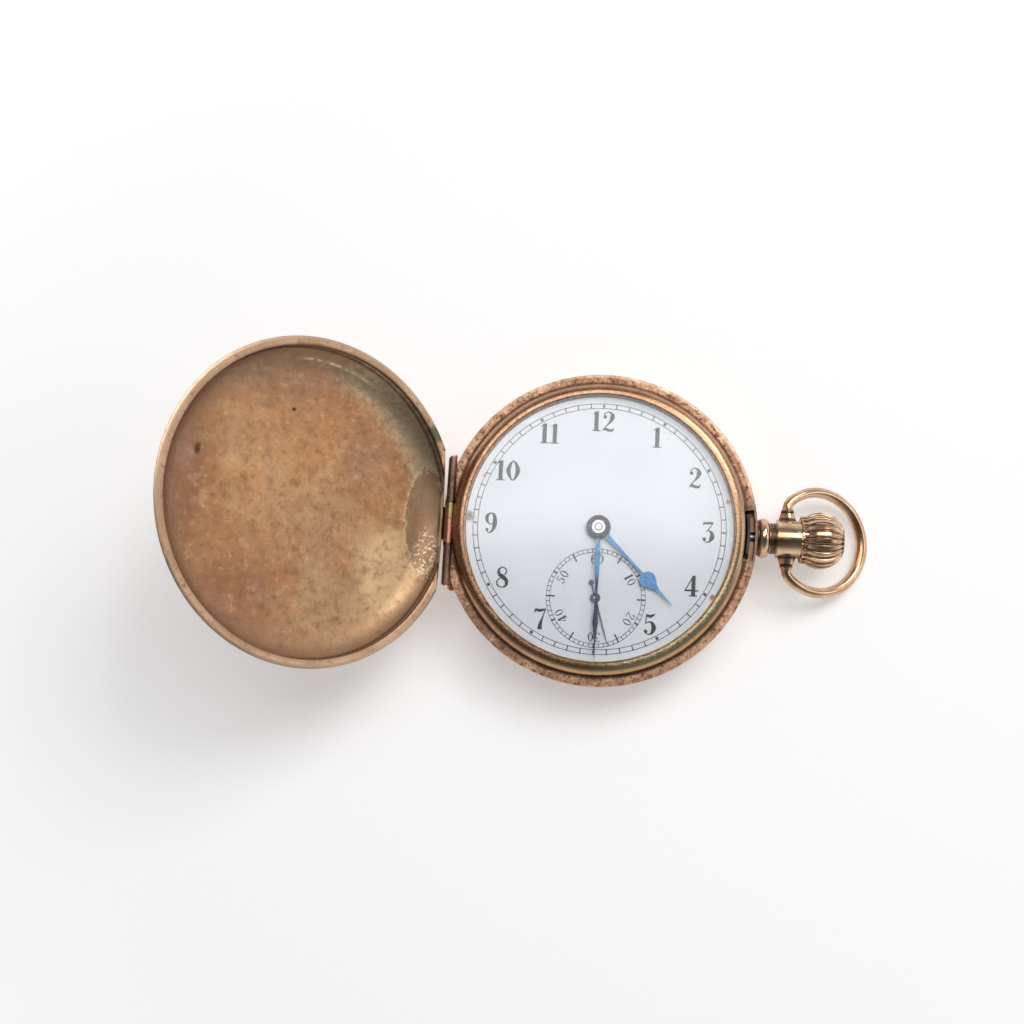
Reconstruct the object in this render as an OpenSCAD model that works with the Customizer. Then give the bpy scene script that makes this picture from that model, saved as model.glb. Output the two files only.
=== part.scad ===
// Full hunter pocket watch, shown with the front cover open and the bow lying on the table.
// All lengths are millimetres. X points to the crown (3 o'clock), Y to 12 o'clock, Z out of the dial.
// The origin is the centre of the flat on the back, which rests on the table.
// Case, covers and hinges come first, then crown and bow, dial and hands, and the lever movement.

/* [Case] */
// Outer diameter of the case across its middle band
case_d = 50; // [49.5:0.1:50.5]
// Depth of the back cover, from the table to the band
back_depth = 4; // [4:0.1:4.4]
// Height of the middle band between the two cover seats
band_h = 5.6; // [5.5:0.1:5.8]
// Rise of the front cover above its seat
lid_rise = 4.3; // [4.2:0.1:5]
// Sheet thickness of the front and back covers
cover_wall = 0.55; // [0.45:0.05:0.6]
// Width of the flat lip round the rim of each cover
lip_w = 1.4; // [1.3:0.05:1.5]
// Angle between the front cover and the band, in degrees
lid_open = 140; // [135:1:145]
// Width of the flat seat that shows round the bezel
seat_w = 2; // [1.95:0.05:2.1]
// Width of the bezel round its window
bezel_w = 1.5; // [1.4:0.05:1.6]
// Height of the bezel above the seat
bezel_h = 1.9; // [1.8:0.05:2]
// Thickness of the crystal
crystal_t = 0.85; // [0.7:0.05:0.9]

/* [Pendant, crown and bow] */
// Diameter of the pendant neck
pendant_d = 6; // [5.8:0.1:6.2]
// Distance from the case centre to the end of the pendant
pendant_end = 32.9; // [32.6:0.1:33.2]
// Largest diameter of the crown
crown_d = 9; // [8.6:0.1:9.2]
// Length of the crown along the stem
crown_len = 6.7; // [6.5:0.1:7]
// Number of flutes round the crown
crown_flutes = 24; // [18:1:28]
// Diameter of the wire of the bow
bow_wire_d = 1.86; // [1.7:0.02:1.9]
// Half of the width of the bow over its wire
bow_half_w = 9.05; // [8.9:0.05:9.2]
// Droop of the bow below the stem, in degrees
bow_droop = 24; // [23:0.1:25]

/* [Dial and hands] */
// Play between the dial and the window of the bezel
dial_play = 0.4; // [0.35:0.05:0.5]
// Thickness of the dial
dial_t = 0.6; // [0.5:0.05:0.65]
// Reach of the minute hand
minute_hand_len = 20.7; // [19:0.1:20.8]
// Reach of the hour hand
hour_hand_len = 16.8; // [15:0.1:17.2]
// Reach of the seconds hand
seconds_hand_len = 7.6; // [7:0.1:7.8]
// Minute hand, degrees clockwise from 12
minute_angle = 179.3; // [0:0.1:359.9]
// Hour hand, degrees clockwise from 12
hour_angle = 134.5; // [0:0.1:359.9]
// Seconds hand, degrees clockwise from 60
seconds_angle = 163; // [0:1:359]

/* [Movement] */
// Play between the main plate and the window of the bezel
plate_play = 0.25; // [0.2:0.05:0.3]
// Thickness of the main plate
plate_t = 2.2; // [2.2:0.05:2.3]
// Teeth of the mainspring barrel
barrel_teeth = 80; // [80:1:80]
// Module of the barrel and the centre pinion
barrel_mod = 0.21; // [0.21:0.001:0.211]
// Leaves of the centre, third and fourth pinions
pinion_leaves = 10; // [10:1:10]
// Teeth of the centre wheel
centre_teeth = 80; // [80:1:80]
// Module of the centre wheel and the third pinion
centre_mod = 0.17; // [0.17:0.001:0.171]
// Teeth of the third wheel
third_teeth = 75; // [75:1:75]
// Module of the third wheel and the fourth pinion
third_mod = 0.155; // [0.155:0.001:0.156]
// Teeth of the fourth wheel
fourth_teeth = 80; // [80:1:80]
// Leaves of the escape pinion
escape_leaves = 8; // [8:1:8]
// Module of the fourth wheel and the escape pinion
fourth_mod = 0.125; // [0.124:0.0005:0.1255]
// Teeth of the escape wheel
escape_teeth = 15; // [15:1:15]
// Diameter of the escape wheel over its teeth
escape_d = 6; // [5.8:0.1:6]
// Diameter of the balance over its screws
balance_d = 14.4; // [14:0.1:14.4]
// Distance of the seconds axis below the dial centre
seconds_drop = 11.15; // [11.1:0.05:11.2]

/* [Clearances] */
// Radial running clearance of a shaft in its hole
run_gap = 0.03; // [0.02:0.01:0.05]
// Gap between pieces that lie against one another
lay_gap = 0.05; // [0.04:0.01:0.06]
// Share of the tooth space that a tooth fills
tooth_fill = 0.84; // [0.8:0.01:0.86]

/* [Hidden] */
round_fn = 96;
wide_fn = 180;
small_fn = 32;
eps = 0.01;
far = 60;

// Heights of the case
case_r = case_d / 2;
z_back = back_depth;
z_seat = back_depth + band_h;
stem_z = z_seat - 3;
band_wall = 1;
seat_flange = 0.8;
channel_r = case_r - band_wall;
back_flat_r = 10.5;
back_dome_r = 203;
back_corner_r = 3.1;
lid_corner_r = 3.3;
lid_dome_r = 680;
lip_t = 0.55;
bezel_r = case_r - seat_w;
window_r = bezel_r - bezel_w;
bezel_round = 1.9;
bezel_lip_t = 0.1;
crystal_r = window_r + 0.4;
crystal_play = 0.08;
crystal_rim_t = 0.37;
crystal_edge_z = z_seat + bezel_h - bezel_lip_t - crystal_play - crystal_rim_t;
crystal_bow_r = 232;

// Hinges of the covers, both at 9 o'clock
knuckle_r = 0.68;
hinge_r = case_r - 1.1;
hinge_half = 10.7;
pin_r = 0.3;
lid_hinge_z = z_seat + 0.2;
back_hinge_z = z_back - 0.2;
lid_knuckle = [-3.65, 2.95];
lid_leaf = [-3, 2.3];
stop_gap = 0.12;
stand_off = case_r - hinge_r + stop_gap;
knuckle_gap = 0.12;
back_knuckle = [2.1, 5.6];
cuvette_knuckle_half = 1.95;
notch_half = 5.75;

// Cuvette, the inner dust cover
cuvette_r = 23.2;
cuvette_h = 2.6;
cuvette_wall = 0.35;
cuvette_corner_r = 2.4;
cuvette_dome_r = 300;
cuvette_gap = 0.06;

// Catch of the front cover at 3 o'clock
catch_turn = 7.6;
catch_slot_turn = 9.5;
catch_in = bezel_r + 0.3;
catch_out = catch_in + 0.25;
catch_nose = case_r - lip_w + 0.15;

// Pendant, crown and bow
neck_start = 28.2;
bead_end = 27.2;
bead_r = 2.8;
bow_x = 29.9;
boss_base_r = 1.55;
boss_tip_r = 0.95;
boss_half = 4.2;
bow_pin_r = 0.55;
crown_start = 32;
crown_end = crown_start + crown_len;
crown_ball_x = 35.1;
crown_ball_r = 3.9;
crown_ball_off = crown_d / 2 - crown_ball_r;
bow_wire_r = bow_wire_d / 2;
bow_r = bow_half_w - bow_wire_r;
bow_far = (stem_z - bow_wire_r) / sin(bow_droop);
bow_mid = bow_far - bow_r;
bow_turn = 180 - acos(bow_mid / bow_r);
bow_end_y = sqrt(bow_r * bow_r - bow_mid * bow_mid);
bow_ball_r = 1.2;

// Heights in the movement, counted from the underside of the main plate
z_dial = z_seat + 0.4;
z_plate_top = z_dial - dial_t;
zp = z_plate_top - plate_t;
dial_r = window_r - dial_play;
plate_r = window_r - plate_play;
z_floor = z_plate_top - 1.2;
bridge_back = zp - 3.7;
barrel_bridge_face = zp - 2.3;
train_bridge_face = zp - 2.2;
bridge_r = plate_r - 0.45;
foot_r = plate_r - 2.85;
jewel_r = 0.75;
jewel_t = 0.35;
pivot_r = 0.12;
arbor_r = 0.32;

// Plan of the train, solved from the centre distances of the meshes
barrel_turn = 64;
barrel_a = barrel_mod * (barrel_teeth + pinion_leaves) / 2;
centre_a = centre_mod * (centre_teeth + pinion_leaves) / 2;
third_a = third_mod * (third_teeth + pinion_leaves) / 2;
fourth_a = fourth_mod * (fourth_teeth + escape_leaves) / 2;
barrel_p = barrel_a * [cos(barrel_turn), sin(barrel_turn)];
centre_p = [0, 0];
fourth_p = [0, -seconds_drop];
third_p = meet(centre_p, centre_a, fourth_p, third_a, 1);
balance_p = [-10.6, -8.2];
escape_r = escape_d / 2;
pallet_a = escape_r / cos(30);
fork_a = 4.8;
escape_p = meet(fourth_p, fourth_a, balance_p, pallet_a + fork_a, -1);
lever_turn = bearing(escape_p, balance_p);
pallet_p = escape_p + pallet_a * [cos(lever_turn), sin(lever_turn)];
balance_r = balance_d / 2;

// Winding work on the stem line
keyless_mod = 0.2;
ratchet_teeth = 64;
crown_wheel_teeth = 48;
winding_teeth = 22;
ratchet_a = keyless_mod * (ratchet_teeth + crown_wheel_teeth) / 2;
crown_wheel_p = [barrel_p[0] + sqrt(ratchet_a * ratchet_a - barrel_p[1] * barrel_p[1]), 0];
winding_r = keyless_mod * (winding_teeth + 2) / 2;
crown_wheel_rim = crown_wheel_p[0] + keyless_mod * crown_wheel_teeth / 2;
winding_x = crown_wheel_rim + 0.06;
winding_len = 0.95;
castle_r = 1.6;
castle_len = 1.9;
castle_travel = 0.9;
castle_teeth = 15;
castle_x = winding_x - 0.5 - castle_len;
stem_r = 0.68;
stem_square = 1;
pilot_r = 0.38;
// Way that the crown can be pushed in to open the cover
push_in = 0.5;

// Motion work under the dial
motion_mod = 0.24;
cannon_teeth = 12;
minute_teeth = 36;
minute_leaves = 10;
hour_teeth = 40;
setting_teeth = 24;
motion_a = motion_mod * (cannon_teeth + minute_teeth) / 2;
hour_mod = 2 * motion_a / (minute_leaves + hour_teeth);
setting_a = motion_mod * (minute_teeth + setting_teeth) / 2;
setting_p = [castle_x - castle_travel - lay_gap - motion_mod * (setting_teeth + 2) / 2, 0];
minute_p = meet([0, 0], motion_a, setting_p, setting_a, -1);
cannon_pipe_r = 1.12;
hour_pipe_r = 1.5;
dial_hole_r = 1.75;

// Small fits shared by many pieces
cut = 1;
screw_r = 0.45;
jewel_hole_r = 0.4;
slot_depth = 0.3;
small_slot = 0.2;
wide_slot = 0.25;

// Seats, walls and flanges of the band
seat_bore = plate_r + 0.1;
wall_r = plate_r + 0.65;
ledge_r = plate_r - 0.35;
ledge_t = 0.4;
lower_seat_bore = plate_r + 0.35;
stem_hole_r = 1.25;
knuckle_side = 0.15;
knuckle_bevel = 0.35;
knuckle_bevel_turn = 35;
notch_side = 0.2;
notch_back = 0.4;
pin_inset = 0.3;

// Pieces of the neck
bead_tube_r = 0.95;
bead_tube_at = bead_r - 0.55;
waist_r = 2.45;
neck_bore_r = 1.95;
boss_rim = 0.3;
sleeve_r = 1.85;
sleeve_rim_r = 1.92;
sleeve_bore_r = 0.95;
crown_skirt_r = pendant_d / 2 + 0.75;
crown_skirt_len = 1.4;
crown_bore_r = pendant_d / 2 + 0.12;
crown_tap_r = 0.55;
flute_r = 0.36;
flute_off = 0.14;
flute_start = 30;
flute_sweep = 115;

// Springs in the channel of the band
lock_turn = 62;
lock_start = 5;
lock_screw_turn = lock_turn - 3;
lift_start = 120;
lift_pad_end = 128;
lift_end = 170;
lift_screw_turn = 123;
spring_low = z_back + seat_flange + 0.3;
spring_high = spring_low + 2.6;
spring_in = plate_r + 0.95;
spring_out = channel_r - 0.35;
spring_screw_r = channel_r - 1.1;
spring_hole_r = 0.3;
spring_head_r = 0.55;
catch_top = z_seat + 1.05;
catch_nose_low = z_seat + 0.7;

// Stem and its stations
stem_thread_r = 0.5;
stem_collar_r = 0.9;
lever_groove_r = 0.36;
lever_groove_half = 0.45;

// Feet of the dial and heights of the hands
foot_turns = [40, 165, 282];
dial_foot_r = plate_r - 1.85;
dial_foot_pin_r = 0.4;
seconds_hole_r = 0.55;
hour_hand_z = z_dial + 0.42;
minute_hand_z = z_dial + 0.76;
seconds_hand_z = z_dial + 0.18;
hour_hand_t = 0.16;
minute_hand_t = 0.14;
seconds_hand_t = 0.12;
cannon_bore_r = 0.57;
minute_post_r = 0.45;
setting_post_r = 0.6;

// Keyless work on the dial side
castle_groove_x = castle_x + castle_len * 0.62;
castle_groove_half = 0.25;
castle_groove_r = 1.15;
clutch_r = 1.5;
clutch_bore_r = 1;
clutch_step = 0.3;
clutch_count = 6;
keyless_z = z_floor + 0.15;
keyless_t = 0.4;
yoke_p = [castle_groove_x, -8];
yoke_post_r = 0.4;
yoke_arm_w = 0.9;
yoke_finger_w = 0.34;
yoke_tail = 1.7;
yoke_tail_w = 0.7;
yoke_spring_p = yoke_p + [3, 0.6];
yoke_spring_t = 0.35;
yoke_blade_w = 0.24;
setting_lever_p = [castle_x + 3.7, 4.6];
lever_post_r = 0.45;
lever_arm_w = 1.1;
lever_tail_w = 0.9;
lever_tail_len = 2.6;
lever_pin_y = 0.75;
lever_pin_r = 0.28;

// Screws of the movement
screw_circle = plate_r - 1.65;
barrel_screws = [polar(screw_circle, 22), polar(screw_circle, 82), polar(screw_circle, 150)];
train_screws = [polar(screw_circle, -33), polar(screw_circle, -62), polar(screw_circle, 250)];
cock_screw = [-18, 1.2];
pallet_screw = [-9.9, -14.3];
case_screw_at = [polar(plate_r - 0.95, 195), polar(plate_r - 0.95, -84)];

// Bridges and cocks; the outlines run on past the rim, which cuts them off
past_rim = 22;
train_bridge_back = bridge_back + 0.2;
ratchet_floor = bridge_back + 0.85;
crown_wheel_floor = bridge_back + 1;
cock_back = zp - 4.25;
cock_face = zp - 3.4;
pallet_cock_back = zp - 2.05;
pallet_cock_face = zp - 1.75;
pallet_foot_r = 1;
plate_jewel_z = zp + 0.5;

// Barrel and winding wheels
barrel_low = zp - 2.2;
barrel_high = zp - 0.7;
barrel_lid_t = 0.2;
barrel_arbor_r = 0.8;
barrel_core_r = 1.6;
barrel_hole_r = 0.9;
ratchet_z = bridge_back + 0.15;
ratchet_t = 0.6;
crown_wheel_t = 0.75;
crown_core_r = 1;
crown_post_r = 0.6;
ratchet_screw_r = 1.7;
crown_screw_r = 1.6;

// Click and its spring
click_reach = 1.62;
click_room = 1.9;
click_boss_r = 0.8;
click_post_r = 0.4;
click_p = barrel_p + polar(keyless_mod * ratchet_teeth / 2 + 1.7, 118);
click_turn = bearing(click_p, barrel_p);
click_spring_len = 3.1;
click_blade_half = 0.1;
click_spring_off = click_boss_r + 0.06 + click_blade_half;

// Arbors of the train
centre_arbor_r = 0.45;
centre_hole_r = 0.62;
escape_arbor_r = 0.28;
seconds_pivot_r = 0.25;
train_arbor_low = zp - 3;
train_arbor_high = zp + 0.45;

// Escapement and balance; the stones end short of the teeth and the fork short of the impulse pin
stone_gap = 0.2;
stone_turn = 30;
fork_z = zp - 1.6;
fork_t = 0.3;
fork_arm_turn = 75;
staff_r = 0.3;
staff_pivot_end = zp + 0.8;
collet_r = 0.58;
impulse_p = balance_p - polar(0.98, lever_turn);
impulse_r = 0.15;
roller_low = zp - 2.05;
balance_rim_w = 0.6;
balance_arm_turn = 20;
balance_cut_turn = 9;
balance_cut_w = 0.18;
timing_screws = 14;
timing_screw_r = 0.27;
timing_screw_len = 0.7;
timing_first = 40;
timing_step = 23;

// Point at distance ra from a and rb from b, on the side that side names
function meet(a, ra, b, rb, side) =
    let (d = norm(b - a), u = (b - a) / d)
    let (along = (ra * ra - rb * rb + d * d) / (2 * d))
    let (across = sqrt(ra * ra - along * along))
    let (first = a + along * u + across * [-u[1], u[0]], second = a + along * u - across * [-u[1], u[0]])
    (first[0] - second[0]) * side + (first[1] - second[1]) * 0.001 * side < 0 ? second : first;
function bearing(a, b) = atan2(b[1] - a[1], b[0] - a[0]);
function polar(r, turn) = r * [cos(turn), sin(turn)];

// General shapes

// Ring with a rectangular section between two heights
module ring(r_out, r_in, z0, z1) {
    difference() {
        translate([0, 0, z0]) cylinder(r = r_out, h = z1 - z0, $fn = wide_fn);
        translate([0, 0, z0 - 1]) cylinder(r = r_in, h = z1 - z0 + 2, $fn = wide_fn);
    }
}

// Disc between two heights at a place in plan
module disc(p, r, z0, z1, fn = small_fn) {
    translate([p[0], p[1], z0]) cylinder(r = r, h = z1 - z0, $fn = fn);
}

// Rod along X between two stations on the stem line
module rod(r, x0, x1, fn = small_fn) {
    translate([x0, 0, stem_z]) rotate([0, 90, 0]) cylinder(r = r, h = x1 - x0, $fn = fn);
}

// Rod along Y between two stations at a hinge
module hinge_rod(x, z, r, y0, y1) {
    translate([x, y1, z]) rotate([90, 0, 0]) cylinder(r = r, h = y1 - y0, $fn = small_fn);
}

// Toothed disc with straight flanks, one tooth centred on the direction turn
module gear_2d(teeth, mod, turn, top = 1, foot = 1.25) {
    pitch_r = teeth * mod / 2;
    half = 90 / teeth * tooth_fill;
    tip_r = pitch_r + top * mod;
    root_r = pitch_r - foot * mod;
    sides = [[root_r, -1.2 * half], [tip_r, -0.45 * half], [tip_r, 0.45 * half], [root_r, 1.2 * half]];
    polygon([for (i = [0 : teeth - 1]) for (s = sides) polar(s[0], turn + i * 360 / teeth + s[1])]);
}

// Wheel with a rim, a hub and straight arms
module spoked_2d(teeth, mod, turn, hub_r, rim_w, arms, arm_w) {
    rim_r = teeth * mod / 2 - rim_w;
    difference() {
        gear_2d(teeth, mod, turn);
        difference() {
            circle(r = rim_r, $fn = 64);
            circle(r = hub_r, $fn = small_fn);
            for (i = [0 : arms - 1]) {
                rotate(i * 360 / arms) translate([0, -arm_w / 2]) square([rim_r + 1, arm_w]);
            }
        }
    }
}

// Flat piece cut from a drawing, between two heights
module plate(z0, z1) {
    translate([0, 0, z0]) linear_extrude(height = z1 - z0) children();
}

// Arbor with its two thin pivots
module arbor(p, z0, z1, r = arbor_r, pivot_len = 0.3) {
    disc(p, r, z0, z1);
    disc(p, pivot_r - run_gap, z0 - pivot_len, z1 + pivot_len);
}

// Screw with its head towards the back, z1 is the seat of the head
module back_screw(p, head_r, head_h, shank_r, z1, shank_len) {
    difference() {
        union() {
            disc(p, head_r, z1 - head_h, z1);
            disc(p, shank_r, z1 - head_h, z1 + shank_len);
        }
        translate([p[0], p[1], z1 - head_h]) cube([3 * head_r, small_slot, slot_depth], center = true);
    }
}

// Section of a domed cover, with the rim at height 0 and the crown at height h
module cover_section(r, h, corner, dome) {
    intersection() {
        union() {
            square([r - corner, h]);
            square([r, h - corner]);
            translate([r - corner, h - corner]) circle(r = corner, $fn = wide_fn);
        }
        translate([0, h - dome]) circle(r = dome, $fn = 3600);
        square([far, far]);
    }
}

// Turns the given piece about a hinge that runs along Y
module swing(x, z, angle) {
    translate([x, 0, z]) rotate([0, angle, 0]) translate([-x, 0, -z]) children();
}

// Case

// Middle of the case: a channel with two seats, the outer knuckles and the ledge for the movement
module case_band() {
    color("#c98a6a")
    difference() {
        union() {
            ring(case_r, channel_r, z_back, z_seat);
            ring(channel_r + eps, seat_bore, z_seat - seat_flange, z_seat);
            ring(wall_r, seat_bore, zp - ledge_t, z_seat);
            ring(wall_r, ledge_r, zp - ledge_t, zp);
            ring(channel_r + eps, lower_seat_bore, z_back, z_back + seat_flange);
            band_knuckles(lid_hinge_z, lid_knuckle[0] - knuckle_side, lid_knuckle[1] + knuckle_side);
            band_knuckles(back_hinge_z, -notch_half, notch_half);
        }
        lid_notch();
        back_notch();
        rod(stem_hole_r, plate_r - cut, case_r + cut);
        catch_slot();
        hinge_rod(-hinge_r, lid_hinge_z, pin_r, -hinge_half - cut, hinge_half + cut);
        hinge_rod(-hinge_r, back_hinge_z, pin_r, -hinge_half - cut, hinge_half + cut);
    }
}

// Two outer knuckles with bevelled ends
module band_knuckles(z, y0, y1) {
    difference() {
        union() {
            hinge_rod(-hinge_r, z, knuckle_r, -hinge_half, y0);
            hinge_rod(-hinge_r, z, knuckle_r, y1, hinge_half);
        }
        for (side = [-1, 1]) {
            translate([-hinge_r, side * (hinge_half + knuckle_bevel), z])
                rotate([0, 0, side * knuckle_bevel_turn]) cube([6, 2 * knuckle_bevel, 4], center = true);
        }
    }
}

// Room in the band for the leaf of the front cover when it lies open
module lid_notch() {
    y0 = lid_knuckle[0] - knuckle_side;
    y1 = lid_knuckle[1] + knuckle_side;
    translate([-case_r - cut, lid_leaf[0] - notch_side, z_seat - 2.5])
        cube([cut + case_r - hinge_r + notch_back, lid_leaf[1] - lid_leaf[0] + 2 * notch_side, 4]);
    hinge_rod(-hinge_r, lid_hinge_z, knuckle_r + knuckle_gap, y0, y1);
}

// Room in the band for the leaves of the back cover and the cuvette
module back_notch() {
    translate([-case_r - cut, -notch_half, z_back - 2])
        cube([cut + case_r - hinge_r + notch_back, 2 * notch_half, 2.8]);
    hinge_rod(-hinge_r, back_hinge_z, knuckle_r + knuckle_gap, -notch_half, notch_half);
}

// Slot at 3 o'clock through which the catch of the lock spring rises
module catch_slot() {
    arc_strip(catch_in - 0.25, case_r - 0.35, -catch_slot_turn, catch_slot_turn, z_seat - 2, z_seat + 1);
}

// Neck with its bead and bosses, its root cut to the band
module pendant() {
    color("#d49a7c")
    difference() {
        union() {
            rod(bead_r, case_r - 1, bead_end - 0.4, round_fn);
            translate([(case_r + bead_end) / 2, 0, stem_z]) rotate([0, 90, 0])
                rotate_extrude($fn = round_fn) translate([bead_tube_at, 0])
                    circle(r = bead_tube_r, $fn = small_fn);
            rod(waist_r, bead_end - 0.8, neck_start + 0.3, round_fn);
            rod(pendant_d / 2, neck_start, pendant_end, round_fn);
            for (side = [-1, 1]) {
                bow_boss(side);
            }
        }
        translate([0, 0, z_back - 2]) cylinder(r = case_r, h = band_h + 4, $fn = wide_fn);
        rod(neck_bore_r, case_r - 2, pendant_end + cut);
        hinge_rod(bow_x, stem_z, bow_pin_r + run_gap, -boss_half - cut, boss_half + cut);
    }
}

// Round boss on the side of the neck that takes one end of the bow
module bow_boss(side) {
    translate([bow_x, 0, stem_z]) rotate([-90 * side, 0, 0]) union() {
        cylinder(r1 = boss_base_r, r2 = boss_tip_r, h = boss_half, $fn = small_fn);
        translate([0, 0, boss_half - boss_rim]) cylinder(r = boss_tip_r, h = boss_rim, $fn = small_fn);
    }
}

// Tube pressed into the neck, in which the stem slides
module pendant_sleeve() {
    color("#8f8f94")
    difference() {
        union() {
            rod(sleeve_r, case_r + 1.6, pendant_end - 0.4);
            rod(sleeve_rim_r, pendant_end - 1.2, pendant_end - 0.4);
        }
        rod(sleeve_bore_r, case_r, pendant_end);
    }
}

// Ring that snaps on the band and holds the crystal in a groove
module bezel() {
    groove_z = crystal_edge_z - lay_gap;
    color("#cf8f6e")
    translate([0, 0, z_seat]) difference() {
        rotate_extrude($fn = wide_fn) difference() {
            union() {
                translate([window_r, 0]) square([bezel_r - window_r, 0.55]);
                intersection() {
                    translate([bezel_r - bezel_round, 0.15]) circle(r = bezel_round, $fn = round_fn);
                    translate([window_r, 0]) square([bezel_r, bezel_h]);
                }
            }
            translate([window_r - 1, groove_z - z_seat]) square([crystal_r - window_r + 1 + lay_gap, 0.8]);
        }
    }
    color("#cf8f6e")
    ring(crystal_r + lay_gap, window_r, z_seat + bezel_h - bezel_lip_t, z_seat + bezel_h);
}

// Shallow dome of glass with a flat rim
module crystal() {
    color([0.85, 0.9, 0.92, 0.35])
    difference() {
        intersection() {
            translate([0, 0, crystal_edge_z]) cylinder(r = crystal_r, h = far, $fn = wide_fn);
            translate([0, 0, crystal_top() - crystal_bow_r]) sphere(r = crystal_bow_r, $fn = 360);
        }
        translate([0, 0, crystal_top() - crystal_t - crystal_hollow_r()])
            sphere(r = crystal_hollow_r(), $fn = 360);
    }
}

function crystal_top() = crystal_edge_z + crystal_rim_t + crystal_r * crystal_r / (2 * crystal_bow_r);
// The hollow side is flatter than the outside, so that the long hand clears it
function crystal_hollow_r() = crystal_r * crystal_r / (2 * (crystal_top() - crystal_t - crystal_edge_z));

// Covers

// Thin domed shell, open at its rim
module cover_shell(r, h, corner, dome, wall) {
    rotate_extrude($fn = wide_fn) difference() {
        cover_section(r, h, corner, dome);
        translate([0, -eps]) cover_section(r - wall, h - wall, corner - wall, dome - wall);
        translate([-eps, -1]) square([2 * eps, 1]);
    }
}

// Hunter cover, drawn closed and swung open about its hinge
module front_cover() {
    color("#b87d5c")
    swing(-hinge_r, lid_hinge_z, -lid_open) difference() {
        union() {
            difference() {
                translate([0, 0, z_seat]) union() {
                    cover_shell(case_r, lid_rise, lid_corner_r, lid_dome_r, cover_wall);
                    ring(case_r - eps, case_r - lip_w, 0, lip_t);
                }
                swing(-hinge_r, lid_hinge_z, lid_open)
                    translate([-hinge_r - stand_off, -far / 2, lid_hinge_z - far / 2]) cube([far, far, far]);
            }
            lid_leaf_and_knuckle();
        }
        hinge_rod(-hinge_r, lid_hinge_z, pin_r + run_gap, -hinge_half, hinge_half);
    }
}

// Leaf that ties the knuckle to the wall of the front cover, drawn with the cover closed
module lid_leaf_and_knuckle() {
    outline = [[-0.35, 0.1], [0.35, 0.1], [0.42, 2.2], [0.3, 2.55], [-0.2, 2.7], [-0.35, 2.2]];
    difference() {
        hinge_rod(-hinge_r, lid_hinge_z, knuckle_r, lid_knuckle[0], lid_knuckle[1]);
        translate([-hinge_r, 0.36, lid_hinge_z]) rotate([90, 0, 0])
            ring(knuckle_r + 1, knuckle_r - 0.08, 0, 0.12);
    }
    translate([-hinge_r, lid_leaf[1], lid_hinge_z]) rotate([90, 0, 0])
        linear_extrude(height = lid_leaf[1] - lid_leaf[0]) polygon(outline);
}

// Back cover with a flat to lie on and two knuckles
module back_cover() {
    color("#b87d5c")
    difference() {
        union() {
            difference() {
                translate([0, 0, z_back]) mirror([0, 0, 1]) union() {
                    intersection() {
                        cover_shell(case_r, back_depth + back_sag(), back_corner_r, back_dome_r, cover_wall);
                        cylinder(r = case_r + 1, h = back_depth, $fn = wide_fn);
                    }
                    ring(case_r - eps, case_r - lip_w, 0, lip_t);
                    translate([0, 0, back_depth - cover_wall])
                        cylinder(r = back_flat_r, h = cover_wall, $fn = wide_fn);
                }
                back_hinge_room();
            }
            for (side = [-1, 1]) {
                back_leaf(side);
            }
        }
        hinge_rod(-hinge_r, back_hinge_z, pin_r + run_gap, -hinge_half, hinge_half);
    }
}

function back_sag() = back_flat_r * back_flat_r / (2 * back_dome_r);

// Clear space round the hinge in the rim of the back cover
module back_hinge_room() {
    hinge_rod(-hinge_r, back_hinge_z, knuckle_r + knuckle_gap, -hinge_half - 0.2, hinge_half + 0.2);
    translate([-case_r - 1, -far / 2, back_hinge_z - stand_off]) cube([case_r + 1 - hinge_r + 0.12, far, far]);
}

// One knuckle of the back cover with the leaf that reaches the wall
module back_leaf(side) {
    outline = [[-0.35, -0.1], [0.35, -0.1], [0.5, -1.6], [0.45, -2.1], [-0.1, -2.25], [-0.35, -1.4]];
    y0 = side > 0 ? back_knuckle[0] : -back_knuckle[1];
    y1 = side > 0 ? back_knuckle[1] : -back_knuckle[0];
    hinge_rod(-hinge_r, back_hinge_z, knuckle_r, y0, y1);
    translate([-hinge_r, y1, back_hinge_z]) rotate([90, 0, 0])
        linear_extrude(height = y1 - y0) polygon(outline);
}

// Inner dust cover that shares the back hinge
module cuvette() {
    rim_z = z_back - cuvette_gap;
    color("#cfa58c")
    difference() {
        union() {
            difference() {
                translate([0, 0, rim_z]) mirror([0, 0, 1])
                    cover_shell(cuvette_r, cuvette_h, cuvette_corner_r, cuvette_dome_r, cuvette_wall);
                hinge_rod(-hinge_r, back_hinge_z, knuckle_r + knuckle_gap, -hinge_half, hinge_half);
            }
            hinge_rod(-hinge_r, back_hinge_z, knuckle_r, -cuvette_knuckle_half, cuvette_knuckle_half);
            translate([-hinge_r, -cuvette_knuckle_half, rim_z - 0.5])
                cube([hinge_r - cuvette_r + 0.5, 2 * cuvette_knuckle_half, 0.5]);
        }
        hinge_rod(-hinge_r, back_hinge_z, pin_r + run_gap, -hinge_half, hinge_half);
    }
}

module front_hinge_pin() {
    color("#a8a29a")
    hinge_rod(-hinge_r, lid_hinge_z, pin_r, -hinge_half + pin_inset, hinge_half - pin_inset);
}

module back_hinge_pin() {
    color("#a8a29a")
    hinge_rod(-hinge_r, back_hinge_z, pin_r, -hinge_half + pin_inset, hinge_half - pin_inset);
}

// Case springs in the channel of the band

// Flat curved strip between two bearings in degrees
module arc_strip(r0, r1, turn0, turn1, z0, z1) {
    translate([0, 0, z0]) rotate([0, 0, turn0])
        rotate_extrude(angle = turn1 - turn0, $fn = wide_fn) translate([r0, 0]) square([r1 - r0, z1 - z0]);
}

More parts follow.
